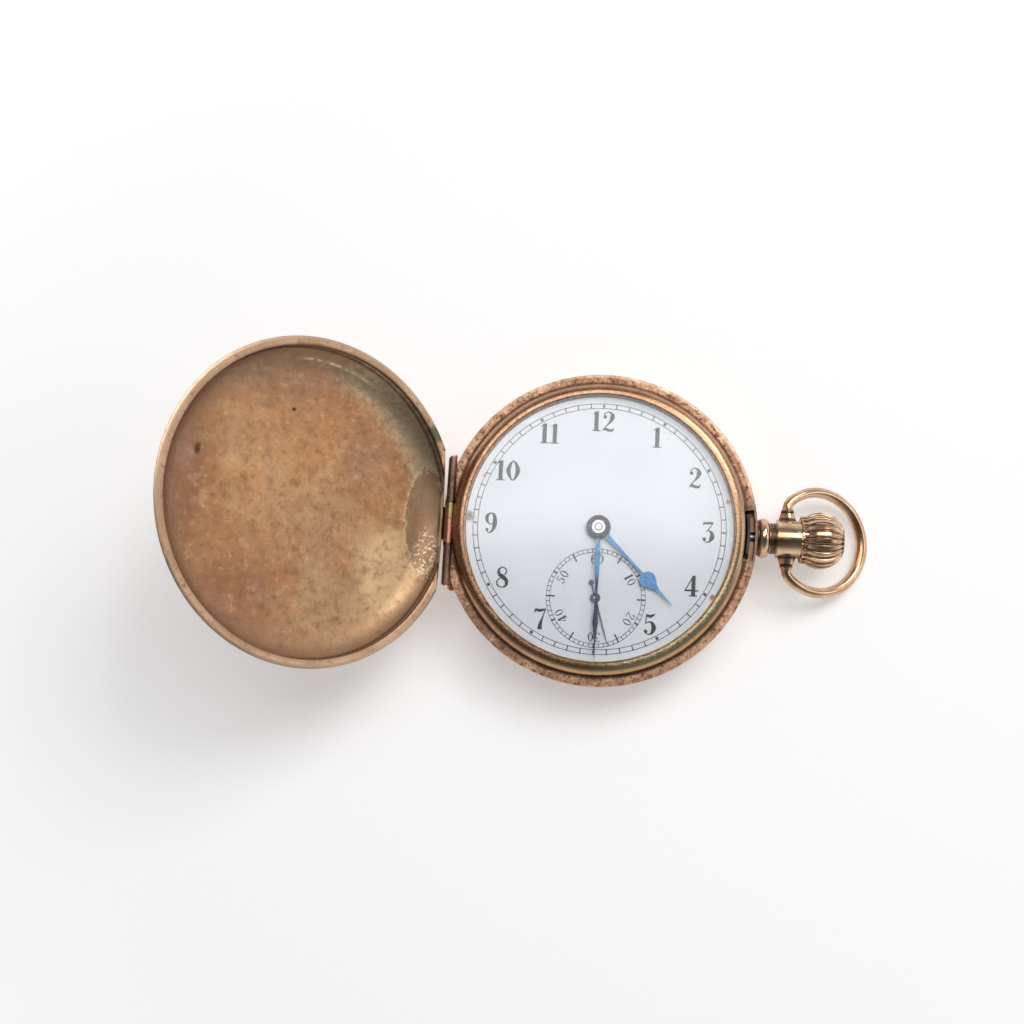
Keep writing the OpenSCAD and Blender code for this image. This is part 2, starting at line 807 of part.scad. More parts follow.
// Spring whose catch stands in the slot at 3 o'clock
module lock_spring() {
    color("#8a8d93")
    difference() {
        union() {
            arc_strip(spring_in + 0.25, spring_out, lock_start, lock_turn, spring_low, spring_high);
            arc_strip(catch_in, catch_out, -catch_turn, catch_turn, spring_low, catch_top);
            arc_strip(catch_in, catch_nose, -catch_turn, catch_turn, catch_nose_low, catch_top);
        }
        rod(1.3, case_r - 4, case_r);
        disc(polar(spring_screw_r, lock_screw_turn), spring_hole_r, spring_low - cut, spring_high + cut);
    }
}

// Spring that throws the front cover open
module lift_spring() {
    color("#8a8d93")
    difference() {
        union() {
            arc_strip(spring_in + 0.2, spring_out, lift_start, lift_end, spring_low, spring_high);
            arc_strip(spring_in, spring_out, lift_start, lift_pad_end, spring_low, spring_high);
        }
        disc(polar(spring_screw_r, lift_screw_turn), spring_hole_r, spring_low - cut, spring_high + cut);
    }
}

// Screws of both springs
module case_spring_screws() {
    color("#6f7076")
    for (turn = [lock_screw_turn, lift_screw_turn]) {
        disc(polar(spring_screw_r, turn), spring_hole_r - run_gap, spring_low - 0.1, spring_high + 0.15);
        disc(polar(spring_screw_r, turn), spring_head_r, spring_low - 0.25, spring_low - 0.02);
    }
}

// Crown, stem and bow

// Fluted crown, bored for the neck and tapped for the stem
module crown() {
    color("#d9a184")
    difference() {
        intersection() {
            translate([0, 0, stem_z]) rotate([0, 90, 0]) rotate_extrude($fn = round_fn) crown_section();
            rod(crown_d, crown_start, crown_end);
        }
        for (i = [0 : crown_flutes - 1]) {
            crown_flute(i * 360 / crown_flutes);
        }
        rod(crown_bore_r, crown_start - cut, pendant_end + 0.7, round_fn);
        rod(crown_tap_r, crown_start, crown_end - 2.4);
    }
}

// Half section of the crown, radius along X and station along Y
module crown_section() {
    union() {
        intersection() {
            translate([crown_ball_off, crown_ball_x]) circle(r = crown_ball_r, $fn = round_fn);
            square([far, far]);
        }
        translate([0, crown_start]) square([crown_ball_off + eps, crown_end - crown_start]);
        translate([0, crown_start]) square([crown_skirt_r, crown_skirt_len]);
    }
}

// One groove that follows the round outline of the crown
module crown_flute(turn) {
    translate([crown_ball_x, 0, stem_z]) rotate([turn, 0, 0]) translate([0, crown_ball_off, 0])
        rotate([0, 0, flute_start]) rotate_extrude(angle = flute_sweep, $fn = 64)
            translate([crown_ball_r + flute_off, 0]) circle(r = flute_r, $fn = 16);
}

// Stem with its pilot, its square, the lever's groove and its thread
module winding_stem() {
    groove_x = lever_pin_x();
    color("#9a9ca2")
    difference() {
        union() {
            rod(pilot_r, castle_x - 2.6, castle_x - 0.8);
            translate([castle_x - 0.8, -stem_square / 2, stem_z - stem_square / 2])
                cube([winding_x + push_in - castle_x + 0.7, stem_square, stem_square]);
            rod(stem_r, winding_x - 0.1 + push_in, pendant_end + 0.5);
            rod(stem_thread_r, pendant_end + 0.4, crown_end - 2.5);
            rod(stem_collar_r, case_r - 0.9, case_r + 0.6);
        }
        difference() {
            rod(stem_r + cut, groove_x - lever_groove_half, groove_x + lever_groove_half);
            rod(lever_groove_r, groove_x - cut, groove_x + cut);
        }
    }
}

// Loop of wire that hangs on the neck
module bow() {
    color("#d49a7c")
    translate([bow_x, 0, stem_z]) rotate([0, bow_droop, 0]) union() {
        translate([bow_mid, 0, 0]) rotate([0, 0, -bow_turn]) rotate_extrude(angle = 2 * bow_turn, $fn = wide_fn)
            translate([bow_r, 0]) circle(r = bow_wire_r, $fn = small_fn);
        for (side = [-1, 1]) {
            bow_end(side * bow_end_y, side);
        }
    }
}

// Ball at one end of the wire, with the pin that turns in the boss
module bow_end(y, side) {
    translate([0, y, 0]) sphere(r = bow_ball_r, $fn = 48);
    translate([0, y, 0]) rotate([90 * side, 0, 0])
        cylinder(r = bow_pin_r, h = bow_end_y - boss_half + 1, $fn = small_fn);
}

// Dial and hands

// Disc of enamel with three feet
module dial() {
    color("#eef0f2")
    difference() {
        union() {
            plate(z_dial - dial_t, z_dial) circle(r = dial_r, $fn = wide_fn);
            for (turn = foot_turns) {
                disc(polar(dial_foot_r, turn), dial_foot_pin_r - run_gap,
                    z_dial - dial_t - 1.4, z_dial - dial_t + eps);
            }
        }
        disc([0, 0], dial_hole_r, 0, far, round_fn);
        disc(fourth_p, seconds_hole_r, 0, far);
    }
}

// Hand outline, mirrored about its line, from pairs of distance and half width
module hand_2d(points) {
    last = len(points) - 1;
    polygon([for (p = points) [p[1], p[0]], for (i = [0 : last]) [-points[last - i][1], points[last - i][0]]]);
}

// Spade hand
module hour_hand() {
    z0 = hour_hand_z;
    color("#1f2c6b")
    rotate([0, 0, -hour_angle]) difference() {
        plate(z0, z0 + hour_hand_t) union() {
            circle(r = hour_pipe_r + 0.42, $fn = round_fn);
            hand_2d([[0.5, 0.62], [3, 0.34], [6, 0.25], [hour_hand_len - 6.75, 0.16], [hour_hand_len - 6, 0.18]]);
            translate([0, hour_hand_len - 5.5]) circle(r = 1.28, $fn = 64);
            hand_2d([[hour_hand_len - 4.6, 0.95], [hour_hand_len - 3.9, 0.45], [hour_hand_len - 3, 0.2],
                [hour_hand_len, 0.04]]);
        }
        disc([0, 0], hour_pipe_r, 0, far, round_fn);
    }
}

// Long thin hand
module minute_hand() {
    z0 = minute_hand_z;
    color("#1f2c6b")
    rotate([0, 0, -minute_angle]) difference() {
        plate(z0, z0 + minute_hand_t) union() {
            circle(r = 1.67, $fn = round_fn);
            hand_2d([[0.8, 0.3], [2.2, 0.32], [4.6, 0.43], [7.6, 0.3], [11, 0.14], [12.4, 0.24], [15, 0.43],
                [17, 0.22], [18.3, 0.1], [minute_hand_len, 0.04]]);
        }
        disc([0, 0], cannon_pipe_r, 0, far, round_fn);
    }
}

// Small hand with a tail
module seconds_hand() {
    z0 = seconds_hand_z;
    color("#1f2c6b")
    translate([fourth_p[0], fourth_p[1], 0]) rotate([0, 0, -seconds_angle]) difference() {
        plate(z0, z0 + seconds_hand_t) union() {
            circle(r = 0.8, $fn = small_fn);
            hand_2d([[-2.3, 0.1], [0, 0.17], [seconds_hand_len, 0.04]]);
            translate([0, -2.5]) circle(r = 0.4, $fn = small_fn);
        }
        disc([0, 0], seconds_pivot_r, 0, far);
    }
}

// Motion work, which gears the hands together under the dial

// Pinion whose pipe carries the minute hand
module cannon_pinion() {
    color("#b9b3a2")
    difference() {
        union() {
            plate(z_floor + 0.05, z_floor + 0.5)
                gear_2d(cannon_teeth, motion_mod, bearing([0, 0], minute_p), 0.95, 1.15);
            disc([0, 0], cannon_pipe_r, z_floor + 0.05, minute_hand_z + 0.35, round_fn);
        }
        disc([0, 0], cannon_bore_r, 0, far, round_fn);
    }
}

// Wheel and pinion between the cannon pinion and the hour wheel
module minute_wheel() {
    turn = bearing(minute_p, [0, 0]);
    color("#c9a45c")
    translate([minute_p[0], minute_p[1], 0]) difference() {
        union() {
            plate(z_floor + 0.1, z_floor + 0.4) gear_2d(minute_teeth, motion_mod, turn + 180 / minute_teeth);
            plate(z_floor + 0.35, z_floor + 0.98) gear_2d(minute_leaves, hour_mod, turn);
        }
        disc([0, 0], minute_post_r, 0, far);
    }
}

// Wheel whose pipe carries the hour hand
module hour_wheel() {
    turn = bearing([0, 0], minute_p);
    color("#c9a45c")
    difference() {
        union() {
            plate(z_floor + 0.65, z_floor + 0.95) gear_2d(hour_teeth, hour_mod, turn + 180 / hour_teeth);
            disc([0, 0], hour_pipe_r, z_floor + 0.65, minute_hand_z - lay_gap, round_fn);
        }
        disc([0, 0], cannon_pipe_r + run_gap, 0, far, round_fn);
    }
}

// Wheel between the castle wheel and the minute wheel
module setting_wheel() {
    turn = bearing(setting_p, minute_p);
    shift = minute_shift(turn);
    color("#b9b3a2")
    translate([setting_p[0], setting_p[1], 0]) difference() {
        plate(z_floor + 0.1, z_floor + 0.4) gear_2d(setting_teeth, motion_mod, turn + shift);
        disc([0, 0], setting_post_r, 0, far);
    }
}

// Turn that puts a gap of the setting wheel on the nearest tooth of the minute wheel
function minute_shift(turn) =
    let (pitch = 360 / minute_teeth, first = bearing(minute_p, [0, 0]) + 180 / minute_teeth)
    let (off = (turn + 180 - first) / pitch, ahead = off - floor(off))
    180 / setting_teeth + ahead * 360 / setting_teeth;

// Keyless work on the dial side

function lever_pin_x() = setting_lever_p[0] + 1.5;

// Pinion that turns on the stem and drives the crown wheel
module winding_pinion() {
    color("#9a9ca2")
    difference() {
        union() {
            translate([winding_x, 0, stem_z]) rotate([0, 90, 0]) linear_extrude(height = winding_len)
                gear_2d(winding_teeth, keyless_mod, 180 / winding_teeth);
            rod(clutch_r, winding_x - 0.2, winding_x + winding_len);
            clutch_teeth(winding_x - 0.45, 0);
        }
        rod(stem_r + run_gap, winding_x - 2, winding_x + 3);
    }
}

// Ring of square-cut clutch teeth
module clutch_teeth(x, turn) {
    for (i = [0 : clutch_count - 1]) {
        intersection() {
            difference() {
                rod(clutch_r, x, x + clutch_step);
                rod(clutch_bore_r, x - cut, x + cut);
            }
            translate([x, 0, stem_z]) rotate([i * 360 / clutch_count + turn, 0, 0])
                translate([0, 0.8, -0.3]) cube([clutch_step, 1, 0.6]);
        }
    }
}

// Sliding pinion on the square of the stem
module castle_wheel() {
    color("#9a9ca2")
    difference() {
        union() {
            rod(castle_r, castle_x + 0.3, castle_x + castle_len, round_fn);
            translate([castle_x, 0, stem_z]) rotate([0, 90, 0]) linear_extrude(height = 0.55)
                gear_2d(castle_teeth, keyless_mod, 0, 0.75, 1.1);
        }
        difference() {
            rod(castle_r + cut, castle_groove_x - castle_groove_half,
                castle_groove_x + castle_groove_half, round_fn);
            rod(castle_groove_r, castle_groove_x - cut, castle_groove_x + cut, round_fn);
        }
        translate([castle_x - 1, -stem_square / 2 - run_gap, stem_z - stem_square / 2 - run_gap])
            cube([castle_len + 2, stem_square + 2 * run_gap, stem_square + 2 * run_gap]);
    }
}

module setting_lever() {
    z0 = keyless_z;
    pin_p = [lever_pin_x(), lever_pin_y];
    arm_turn = bearing(setting_lever_p, pin_p);
    color("#9a9ca2")
    difference() {
        union() {
            disc(setting_lever_p, 1.1, z0, z0 + keyless_t);
            translate([setting_lever_p[0], setting_lever_p[1], z0]) rotate([0, 0, arm_turn])
                translate([0, -lever_arm_w / 2, 0])
                    cube([norm(pin_p - setting_lever_p) + 0.3, lever_arm_w, keyless_t]);
            translate([setting_lever_p[0], setting_lever_p[1], z0]) rotate([0, 0, arm_turn - 100])
                translate([0, -lever_tail_w / 2, 0]) cube([lever_tail_len, lever_tail_w, keyless_t]);
            disc(pin_p, lever_pin_r, stem_z + 0.2, z0 + 0.2);
        }
        disc(setting_lever_p, lever_post_r, 0, far);
    }
}

module yoke() {
    z0 = keyless_z;
    color("#9a9ca2")
    difference() {
        union() {
            disc(yoke_p, 0.95, z0, z0 + keyless_t);
            translate([yoke_p[0] - yoke_arm_w / 2, yoke_p[1], z0]) cube([yoke_arm_w, 5.4, keyless_t]);
            translate([yoke_p[0] - yoke_tail_w / 2, yoke_p[1] - yoke_tail, z0])
                cube([yoke_tail_w, yoke_tail, keyless_t]);
            translate([yoke_p[0] - yoke_finger_w / 2, -3.4, z0]) cube([yoke_finger_w, 1.95, keyless_t]);
            translate([yoke_p[0] - yoke_finger_w / 2, -2.2, stem_z + 0.4])
                cube([yoke_finger_w, 0.75, z0 - stem_z]);
        }
        disc(yoke_p, yoke_post_r, 0, far);
    }
}

// Its blade presses on the tail of the yoke
module yoke_spring() {
    z0 = keyless_z;
    tip = yoke_p + [0.92, -yoke_tail];
    color("#6f7076")
    difference() {
        union() {
            disc(yoke_spring_p, 0.9, z0, z0 + yoke_spring_t);
            translate([yoke_spring_p[0], yoke_spring_p[1], z0]) rotate([0, 0, bearing(yoke_spring_p, tip)])
                translate([0, -yoke_blade_w / 2, 0])
                    cube([norm(tip - yoke_spring_p), yoke_blade_w, yoke_spring_t]);
        }
        disc(yoke_spring_p, yoke_post_r, 0, far);
    }
}

// Plates and bridges

// Room on the dial side for the motion work and the keyless work
module plate_pockets() {
    disc([0, 0], hour_mod * hour_teeth / 2 + 0.5, z_floor, far, round_fn);
    disc(minute_p, motion_mod * minute_teeth / 2 + 0.45, z_floor, far, round_fn);
    disc(setting_p, motion_mod * setting_teeth / 2 + 0.4, z_floor, far, round_fn);
    translate([castle_x - 1.2, -10, z_floor]) cube([6.4, 16.6, far]);
    intersection() {
        disc(setting_lever_p, 4.75, z_floor, far, round_fn);
        disc([0, 0], plate_r - 0.5, z_floor, far, wide_fn);
    }
    translate([castle_x - 1.2, -2.65, zp - 1]) cube([winding_x + winding_len - castle_x + 1.4, 5.3, far]);
    translate([lever_pin_x() - 1.1, -0.9, zp - 1]) cube([2.7, 2.4, far]);
}

// Plate that carries the train, with posts for the wheels on the dial side
module main_plate() {
    color("#cdb27a")
    difference() {
        union() {
            difference() {
                disc([0, 0], plate_r, zp, z_plate_top, wide_fn);
                plate_pockets();
            }
            disc(minute_p, minute_post_r - run_gap, z_floor - 0.2, z_floor + 1);
            disc(setting_p, setting_post_r - run_gap, z_floor - 0.2, z_floor + 0.7);
            disc(setting_lever_p, lever_post_r - run_gap, z_floor - 0.2, z_floor + 0.7);
            disc(yoke_p, yoke_post_r - run_gap, z_floor - 0.2, z_floor + 0.7);
            disc(yoke_spring_p, yoke_post_r - run_gap, z_floor - 0.2, z_floor + 0.6);
            translate([castle_x - 2.75, -1.1, stem_z - 0.9]) cube([1.05, 2.2, zp - stem_z + 1]);
        }
        rod(pilot_r + 0.04, castle_x - 4, castle_x - 1);
        rod(stem_r + 0.1, castle_x, case_r);
        disc([0, 0], centre_hole_r, 0, far);
        disc(barrel_p, barrel_hole_r, 0, z_floor + 0.1);
        for (p = [third_p, fourth_p, escape_p, pallet_p, balance_p]) {
            disc(p, jewel_r, plate_jewel_z, plate_jewel_z + jewel_t);
            disc(p, jewel_hole_r, 0, far);
        }
        for (turn = foot_turns) {
            disc(polar(dial_foot_r, turn), dial_foot_pin_r, z_plate_top - 1.5, far);
        }
        for (p = plate_screw_holes()) {
            disc(p, screw_r, 0, zp + cut);
        }
    }
}

function plate_screw_holes() = concat(barrel_screws, train_screws, [cock_screw, pallet_screw], case_screw_at);

// Outline of the large bridge over the barrel and the crown wheel
module barrel_bridge_2d() {
    intersection() {
        circle(r = bridge_r, $fn = wide_fn);
        polygon([[-12.6, 0.8], [-4, -2.2], [2, -3.2], [4.4, -4.4], [9.5, -5.7], [past_rim, -5.9],
            [past_rim, past_rim], [-past_rim, past_rim], [-past_rim, 7.2], [-14, 5.6]]);
    }
}

// Bridge over the barrel, with beds for the ratchet wheel, the crown wheel and the click
module barrel_bridge() {
    color("#d3bb86")
    difference() {
        union() {
            plate(bridge_back, barrel_bridge_face) barrel_bridge_2d();
            plate(barrel_bridge_face - eps, zp) difference() {
                barrel_bridge_2d();
                circle(r = foot_r, $fn = wide_fn);
            }
        }
        disc(barrel_p, keyless_mod * ratchet_teeth / 2 + 0.4, 0, ratchet_floor, round_fn);
        disc(crown_wheel_p, keyless_mod * crown_wheel_teeth / 2 + 0.35, 0, crown_wheel_floor, round_fn);
        translate([winding_x - 0.25, -1.6, 0]) cube([winding_len + 0.5, 3.2, zp + 1]);
        disc(barrel_p, barrel_hole_r, 0, far);
        disc(crown_wheel_p, crown_post_r, 0, far);
        disc([0, 0], jewel_hole_r, 0, far);
        disc(click_p, click_post_r, 0, far);
        rod(stem_r + 0.1, castle_x, case_r);
        translate([lever_pin_x() - 1.1, -0.9, stem_z]) cube([3.4, 2.4, zp]);
        disc(click_p, click_room, 0, ratchet_floor, round_fn);
        click_spring_room();
        for (p = barrel_screws) {
            disc(p, screw_r, 0, far);
        }
    }
}

// Outline of the bridge over the third, fourth and escape wheels
module train_bridge_2d() {
    intersection() {
        circle(r = bridge_r, $fn = wide_fn);
        difference() {
            polygon([[2.6, -4.1], [4.4, -4.75], [9.5, -6.05], [past_rim, -6.25], [past_rim, -past_rim],
                [-9, -past_rim], [-6.6, -16.4], [-6, -13.2], [-3.9, -12.6], [-2.6, -11.6], [-1.6, -9.4]]);
            translate(balance_p) circle(r = balance_r + 0.35, $fn = round_fn);
            circle(r = 3.2, $fn = 48);
        }
    }
}

// Pads of the train bridge that stand on the main plate
module train_feet_2d() {
    difference() {
        intersection() {
            train_bridge_2d();
            union() {
                polygon([[0, 0], polar(30, -76), polar(30, -50), polar(30, -24)]);
                polygon([[0, 0], polar(30, 244), polar(30, 257)]);
            }
        }
        circle(r = foot_r, $fn = wide_fn);
    }
}

// Bridge over the third, fourth and escape wheels
module train_bridge() {
    color("#d3bb86")
    difference() {
        union() {
            plate(train_bridge_back, train_bridge_face) train_bridge_2d();
            plate(train_bridge_face - eps, zp) train_feet_2d();
        }
        for (p = [third_p, fourth_p, escape_p]) {
            disc(p, jewel_r, 0, train_bridge_back + jewel_t);
            disc(p, jewel_hole_r, 0, far);
        }
        for (p = train_screws) {
            disc(p, screw_r, 0, far);
        }
    }
}

// Cock over the balance
module balance_cock() {
    color("#d3bb86")
    difference() {
        union() {
            plate(cock_back, cock_face) cock_2d();
            plate(cock_face - eps, zp) intersection() {
                cock_2d();
                polygon([[-past_rim, -1.4], [-15.4, -0.4], [-14.6, 5.2], [-past_rim, 6.6]]);
            }
        }
        disc(balance_p, jewel_r, 0, cock_back + jewel_t);
        disc(balance_p, jewel_hole_r, 0, far);
        disc(cock_screw, screw_r, 0, far);
    }
}

module cock_2d() {
    intersection() {
        circle(r = bridge_r, $fn = wide_fn);
        union() {
            polygon([[-past_rim, -1.4], [-17.2, -1.2], [-14.6, -3.6], [-12.9, -8.4], [-8.2, -7.4], [-10.4, -3.4],
                [-13.6, 0.6], [-14.4, 5.1], [-past_rim, 6.4]]);
            translate(balance_p) circle(r = 2.5, $fn = 64);
        }
    }
}

// Cock over the pallet fork, on a round foot
module pallet_cock() {
    color("#d3bb86")
    difference() {
        union() {
            plate(pallet_cock_back, pallet_cock_face) pallet_cock_2d();
            disc(pallet_screw, pallet_foot_r, pallet_cock_face - lay_gap, zp, small_fn);
        }
        disc(pallet_p, 0.16, 0, far);
        disc(pallet_screw, screw_r, 0, far);
    }
}

module pallet_cock_2d() {
    turn = bearing(pallet_p, pallet_screw);
    translate(pallet_p) circle(r = 0.75, $fn = small_fn);
    translate(pallet_screw) circle(r = pallet_foot_r, $fn = small_fn);
    translate(pallet_p) rotate(turn) translate([0, -0.55]) square([norm(pallet_screw - pallet_p), 1.1]);
}

module bridge_screws() {
    color("#35508f")
    union() {
        for (p = barrel_screws) {
            back_screw(p, 0.9, 0.45, screw_r - run_gap, bridge_back - 0.02, 4.4);
        }
        for (p = train_screws) {
            back_screw(p, 0.85, 0.45, screw_r - run_gap, bridge_back + 0.18, 4.2);
        }
        back_screw(cock_screw, 0.9, 0.4, screw_r - run_gap, cock_back - 0.02, 4.9);
        back_screw(pallet_screw, 0.7, 0.25, screw_r - run_gap, zp - 2.07, 2.6);
    }
}

module case_screws() {
    color("#35508f")
    for (p = case_screw_at) {
        back_screw(p, 0.95, 0.4, screw_r - run_gap, zp - 0.42, 1.2);
    }
}

module train_jewels() {
    color("#b3243c")
    for (p = [third_p, fourth_p, escape_p]) {
        jewel(p, train_bridge_back);
        jewel(p, plate_jewel_z);
    }
}

module balance_jewels() {
    color("#b3243c")
    union() {
        jewel(balance_p, cock_back);
        jewel(balance_p, plate_jewel_z);
        jewel(pallet_p, plate_jewel_z);
    }
}

// Ring jewel pressed into a plate or a bridge
module jewel(p, z0) {
    difference() {
        disc(p, jewel_r, z0, z0 + jewel_t);
        disc(p, pivot_r, z0 - 1, z0 + 1);
    }
}

// Mainspring barrel and winding wheels

module barrel() {
    barrel_in = barrel_teeth * barrel_mod / 2 - 0.9;
    color("#c9a45c")
    translate([barrel_p[0], barrel_p[1], 0]) difference() {
        union() {
            disc([0, 0], barrel_in + 0.45, barrel_low, barrel_high, round_fn);
            plate(barrel_low + 0.65, barrel_low + 1.25)
                gear_2d(barrel_teeth, barrel_mod, barrel_turn + 180 + 180 / barrel_teeth);
        }
        disc([0, 0], barrel_in, barrel_low + barrel_lid_t, barrel_high - barrel_lid_t, round_fn);
        disc([0, 0], barrel_arbor_r + run_gap, 0, far);
    }
}

module barrel_arbor() {
    color("#9a9ca2")
    union() {
        disc(barrel_p, barrel_arbor_r, bridge_back + 0.2, zp + 0.7);
        disc(barrel_p, barrel_core_r, barrel_low + 0.3, barrel_high - 0.3);
    }
}

// Flat spiral strip drawn from a rule: the radius grows by one pitch each turn
module spiral_2d(r0, pitch, turns, thick, step) {
    count = turns * 360 / step;
    polygon([
        for (i = [0 : count]) polar(r0 + pitch * i * step / 360, i * step),
        for (i = [0 : count]) polar(r0 + pitch * (count - i) * step / 360 + thick, (count - i) * step)
    ]);
}

module mainspring() {
    color("#5d6470")
    translate([barrel_p[0], barrel_p[1], 0]) plate(barrel_low + 0.3, barrel_high - 0.3)
        spiral_2d(1.66, 0.62, 9, 0.2, 20);
}

module ratchet_wheel() {
    color("#b9bcc2")
    translate([barrel_p[0], barrel_p[1], 0]) difference() {
        plate(ratchet_z, ratchet_z + ratchet_t)
            gear_2d(ratchet_teeth, keyless_mod, bearing(barrel_p, crown_wheel_p));
        disc([0, 0], barrel_arbor_r, 0, far);
    }
}

module ratchet_screw() {
    color("#35508f")
    difference() {
        disc(barrel_p, ratchet_screw_r, bridge_back - 0.3, bridge_back + 0.13, round_fn);
        translate([barrel_p[0], barrel_p[1], bridge_back - 0.3])
            cube([far / 10, wide_slot, slot_depth], center = true);
    }
}

module crown_wheel() {
    turn = bearing(crown_wheel_p, barrel_p) + 180 / crown_wheel_teeth;
    color("#b9bcc2")
    translate([crown_wheel_p[0], crown_wheel_p[1], 0]) difference() {
        plate(ratchet_z, ratchet_z + crown_wheel_t) gear_2d(crown_wheel_teeth, keyless_mod, turn);
        disc([0, 0], crown_core_r, 0, far);
    }
}

module crown_wheel_screw() {
    color("#35508f")
    difference() {
        union() {
            disc(crown_wheel_p, crown_screw_r, bridge_back - 0.35, bridge_back + 0.1, round_fn);
            disc(crown_wheel_p, crown_core_r - run_gap, bridge_back - 0.3, crown_wheel_floor, round_fn);
            disc(crown_wheel_p, crown_post_r, bridge_back, barrel_bridge_face);
        }
        translate([crown_wheel_p[0], crown_wheel_p[1], bridge_back - 0.35])
            cube([far / 10, wide_slot, slot_depth], center = true);
    }
}

// Its beak ends just short of the teeth of the ratchet wheel
module click() {
    beak = [[0, -0.55], [1.1, -0.45], [click_reach, -0.25], [1.45, 0.1], [0.6, 0.55], [0, 0.6]];
    color("#9a9ca2")
    translate([click_p[0], click_p[1], 0]) difference() {
        union() {
            disc([0, 0], click_boss_r, bridge_back + 0.1, bridge_back + 0.75);
            disc([0, 0], click_post_r - run_gap, bridge_back + 0.1, bridge_back + 1.3);
            plate(ratchet_z, bridge_back + 0.7) rotate(click_turn + 40) polygon(beak);
        }
        translate([0, 0, bridge_back + 0.1]) cube([3, small_slot, 0.25], center = true);
    }
}

// Straight blade that bears on the click, in a frame with X towards the ratchet wheel
module click_spring_2d(grow) {
    rotate(click_turn) union() {
        translate([-click_spring_len, -click_spring_off - click_blade_half - grow])
            square([click_spring_len, 2 * (click_blade_half + grow)]);
        translate([-click_spring_len, -click_spring_off]) circle(r = 0.55 + grow, $fn = small_fn);
    }
}

module click_spring() {
    color("#6f7076")
    translate([click_p[0], click_p[1], 0]) plate(bridge_back + 0.25, bridge_back + 0.65) click_spring_2d(0);
}

module click_spring_room() {
    translate([click_p[0], click_p[1], 0]) plate(0, ratchet_floor) click_spring_2d(0.2);
}

// Going train

module centre_pinion() {
    color("#9a9ca2")
    union() {
        plate(zp - 2, zp - 0.8) gear_2d(pinion_leaves, barrel_mod, barrel_turn);
        disc([0, 0], centre_arbor_r, zp - 2.2, zp + 0.9);
        disc([0, 0], jewel_hole_r - run_gap, zp - 3.4, zp - 2.1);
        disc([0, 0], cannon_bore_r - run_gap, zp + 0.9, minute_hand_z + 0.38, round_fn);
        disc([0, 0], 0.3, minute_hand_z + 0.3, minute_hand_z + 0.5);
    }
}

module centre_wheel() {
    color("#c9a45c")
    difference() {
        plate(zp - 0.5, zp - 0.2)
            spoked_2d(centre_teeth, centre_mod, bearing(centre_p, third_p), 1.3, 0.75, 5, 0.7);
        disc([0, 0], centre_arbor_r, 0, far);
    }
}

module third_pinion() {
    color("#9a9ca2")
    union() {
        arbor(third_p, train_arbor_low, train_arbor_high);
        translate([third_p[0], third_p[1], 0]) plate(zp - 1, zp - 0.1)
            gear_2d(pinion_leaves, centre_mod, bearing(third_p, centre_p) + 180 / pinion_leaves);
        disc(third_p, 0.65, zp - 2.05, zp - 1.95);
    }
}

module third_wheel() {
    color("#c9a45c")
    translate([third_p[0], third_p[1], 0]) difference() {
        plate(zp - 1.9, zp - 1.6) spoked_2d(third_teeth, third_mod, bearing(third_p, fourth_p), 1.1, 0.65, 5, 0.6);
        disc([0, 0], arbor_r, 0, far);
    }
}

module fourth_pinion() {
    color("#9a9ca2")
    union() {
        arbor(fourth_p, train_arbor_low, train_arbor_high);
        translate([fourth_p[0], fourth_p[1], 0]) plate(zp - 2.1, zp - 1.1)
            gear_2d(pinion_leaves, third_mod, bearing(fourth_p, third_p) + 180 / pinion_leaves);
        disc(fourth_p, pivot_r - run_gap, zp, z_plate_top);
        disc(fourth_p, seconds_pivot_r, z_plate_top - 1, z_dial + 0.34);
    }
}

module fourth_wheel() {
    color("#c9a45c")
    translate([fourth_p[0], fourth_p[1], 0]) difference() {
        plate(zp - 1, zp - 0.7)
            spoked_2d(fourth_teeth, fourth_mod, bearing(fourth_p, escape_p), 0.9, 0.6, 4, 0.5);
        disc([0, 0], arbor_r, 0, far);
    }
}

module escape_pinion() {
    color("#9a9ca2")
    union() {
        arbor(escape_p, train_arbor_low, train_arbor_high, escape_arbor_r);
        translate([escape_p[0], escape_p[1], 0]) plate(zp - 1.2, zp - 0.2)
            gear_2d(escape_leaves, fourth_mod, bearing(escape_p, fourth_p) + 180 / escape_leaves, 0.8, 1.1);
    }
}

module escape_wheel() {
    tooth = 360 / escape_teeth;
    root_r = escape_r - 0.85;
    tooth_points = [[root_r, -0.18], [escape_r - 0.12, 0.22], [escape_r, 0.32], [escape_r - 0.06, 0.5],
        [escape_r - 0.35, 0.36], [root_r, 0.22]];
    color("#d8c27a")
    translate([escape_p[0], escape_p[1], 0]) difference() {
        plate(zp - 1.6, zp - 1.35) difference() {
            polygon([for (i = [0 : escape_teeth - 1]) for (s = tooth_points) polar(s[0], (i + s[1]) * tooth)]);
            difference() {
                circle(r = root_r - 0.35, $fn = 48);
                circle(r = 0.75, $fn = small_fn);
                for (i = [0 : 3]) {
                    rotate(i * 90) translate([0, -0.2]) square([root_r, 0.4]);
                }
            }
        }
        disc([0, 0], escape_arbor_r, 0, far);
    }
}

// Escapement and balance

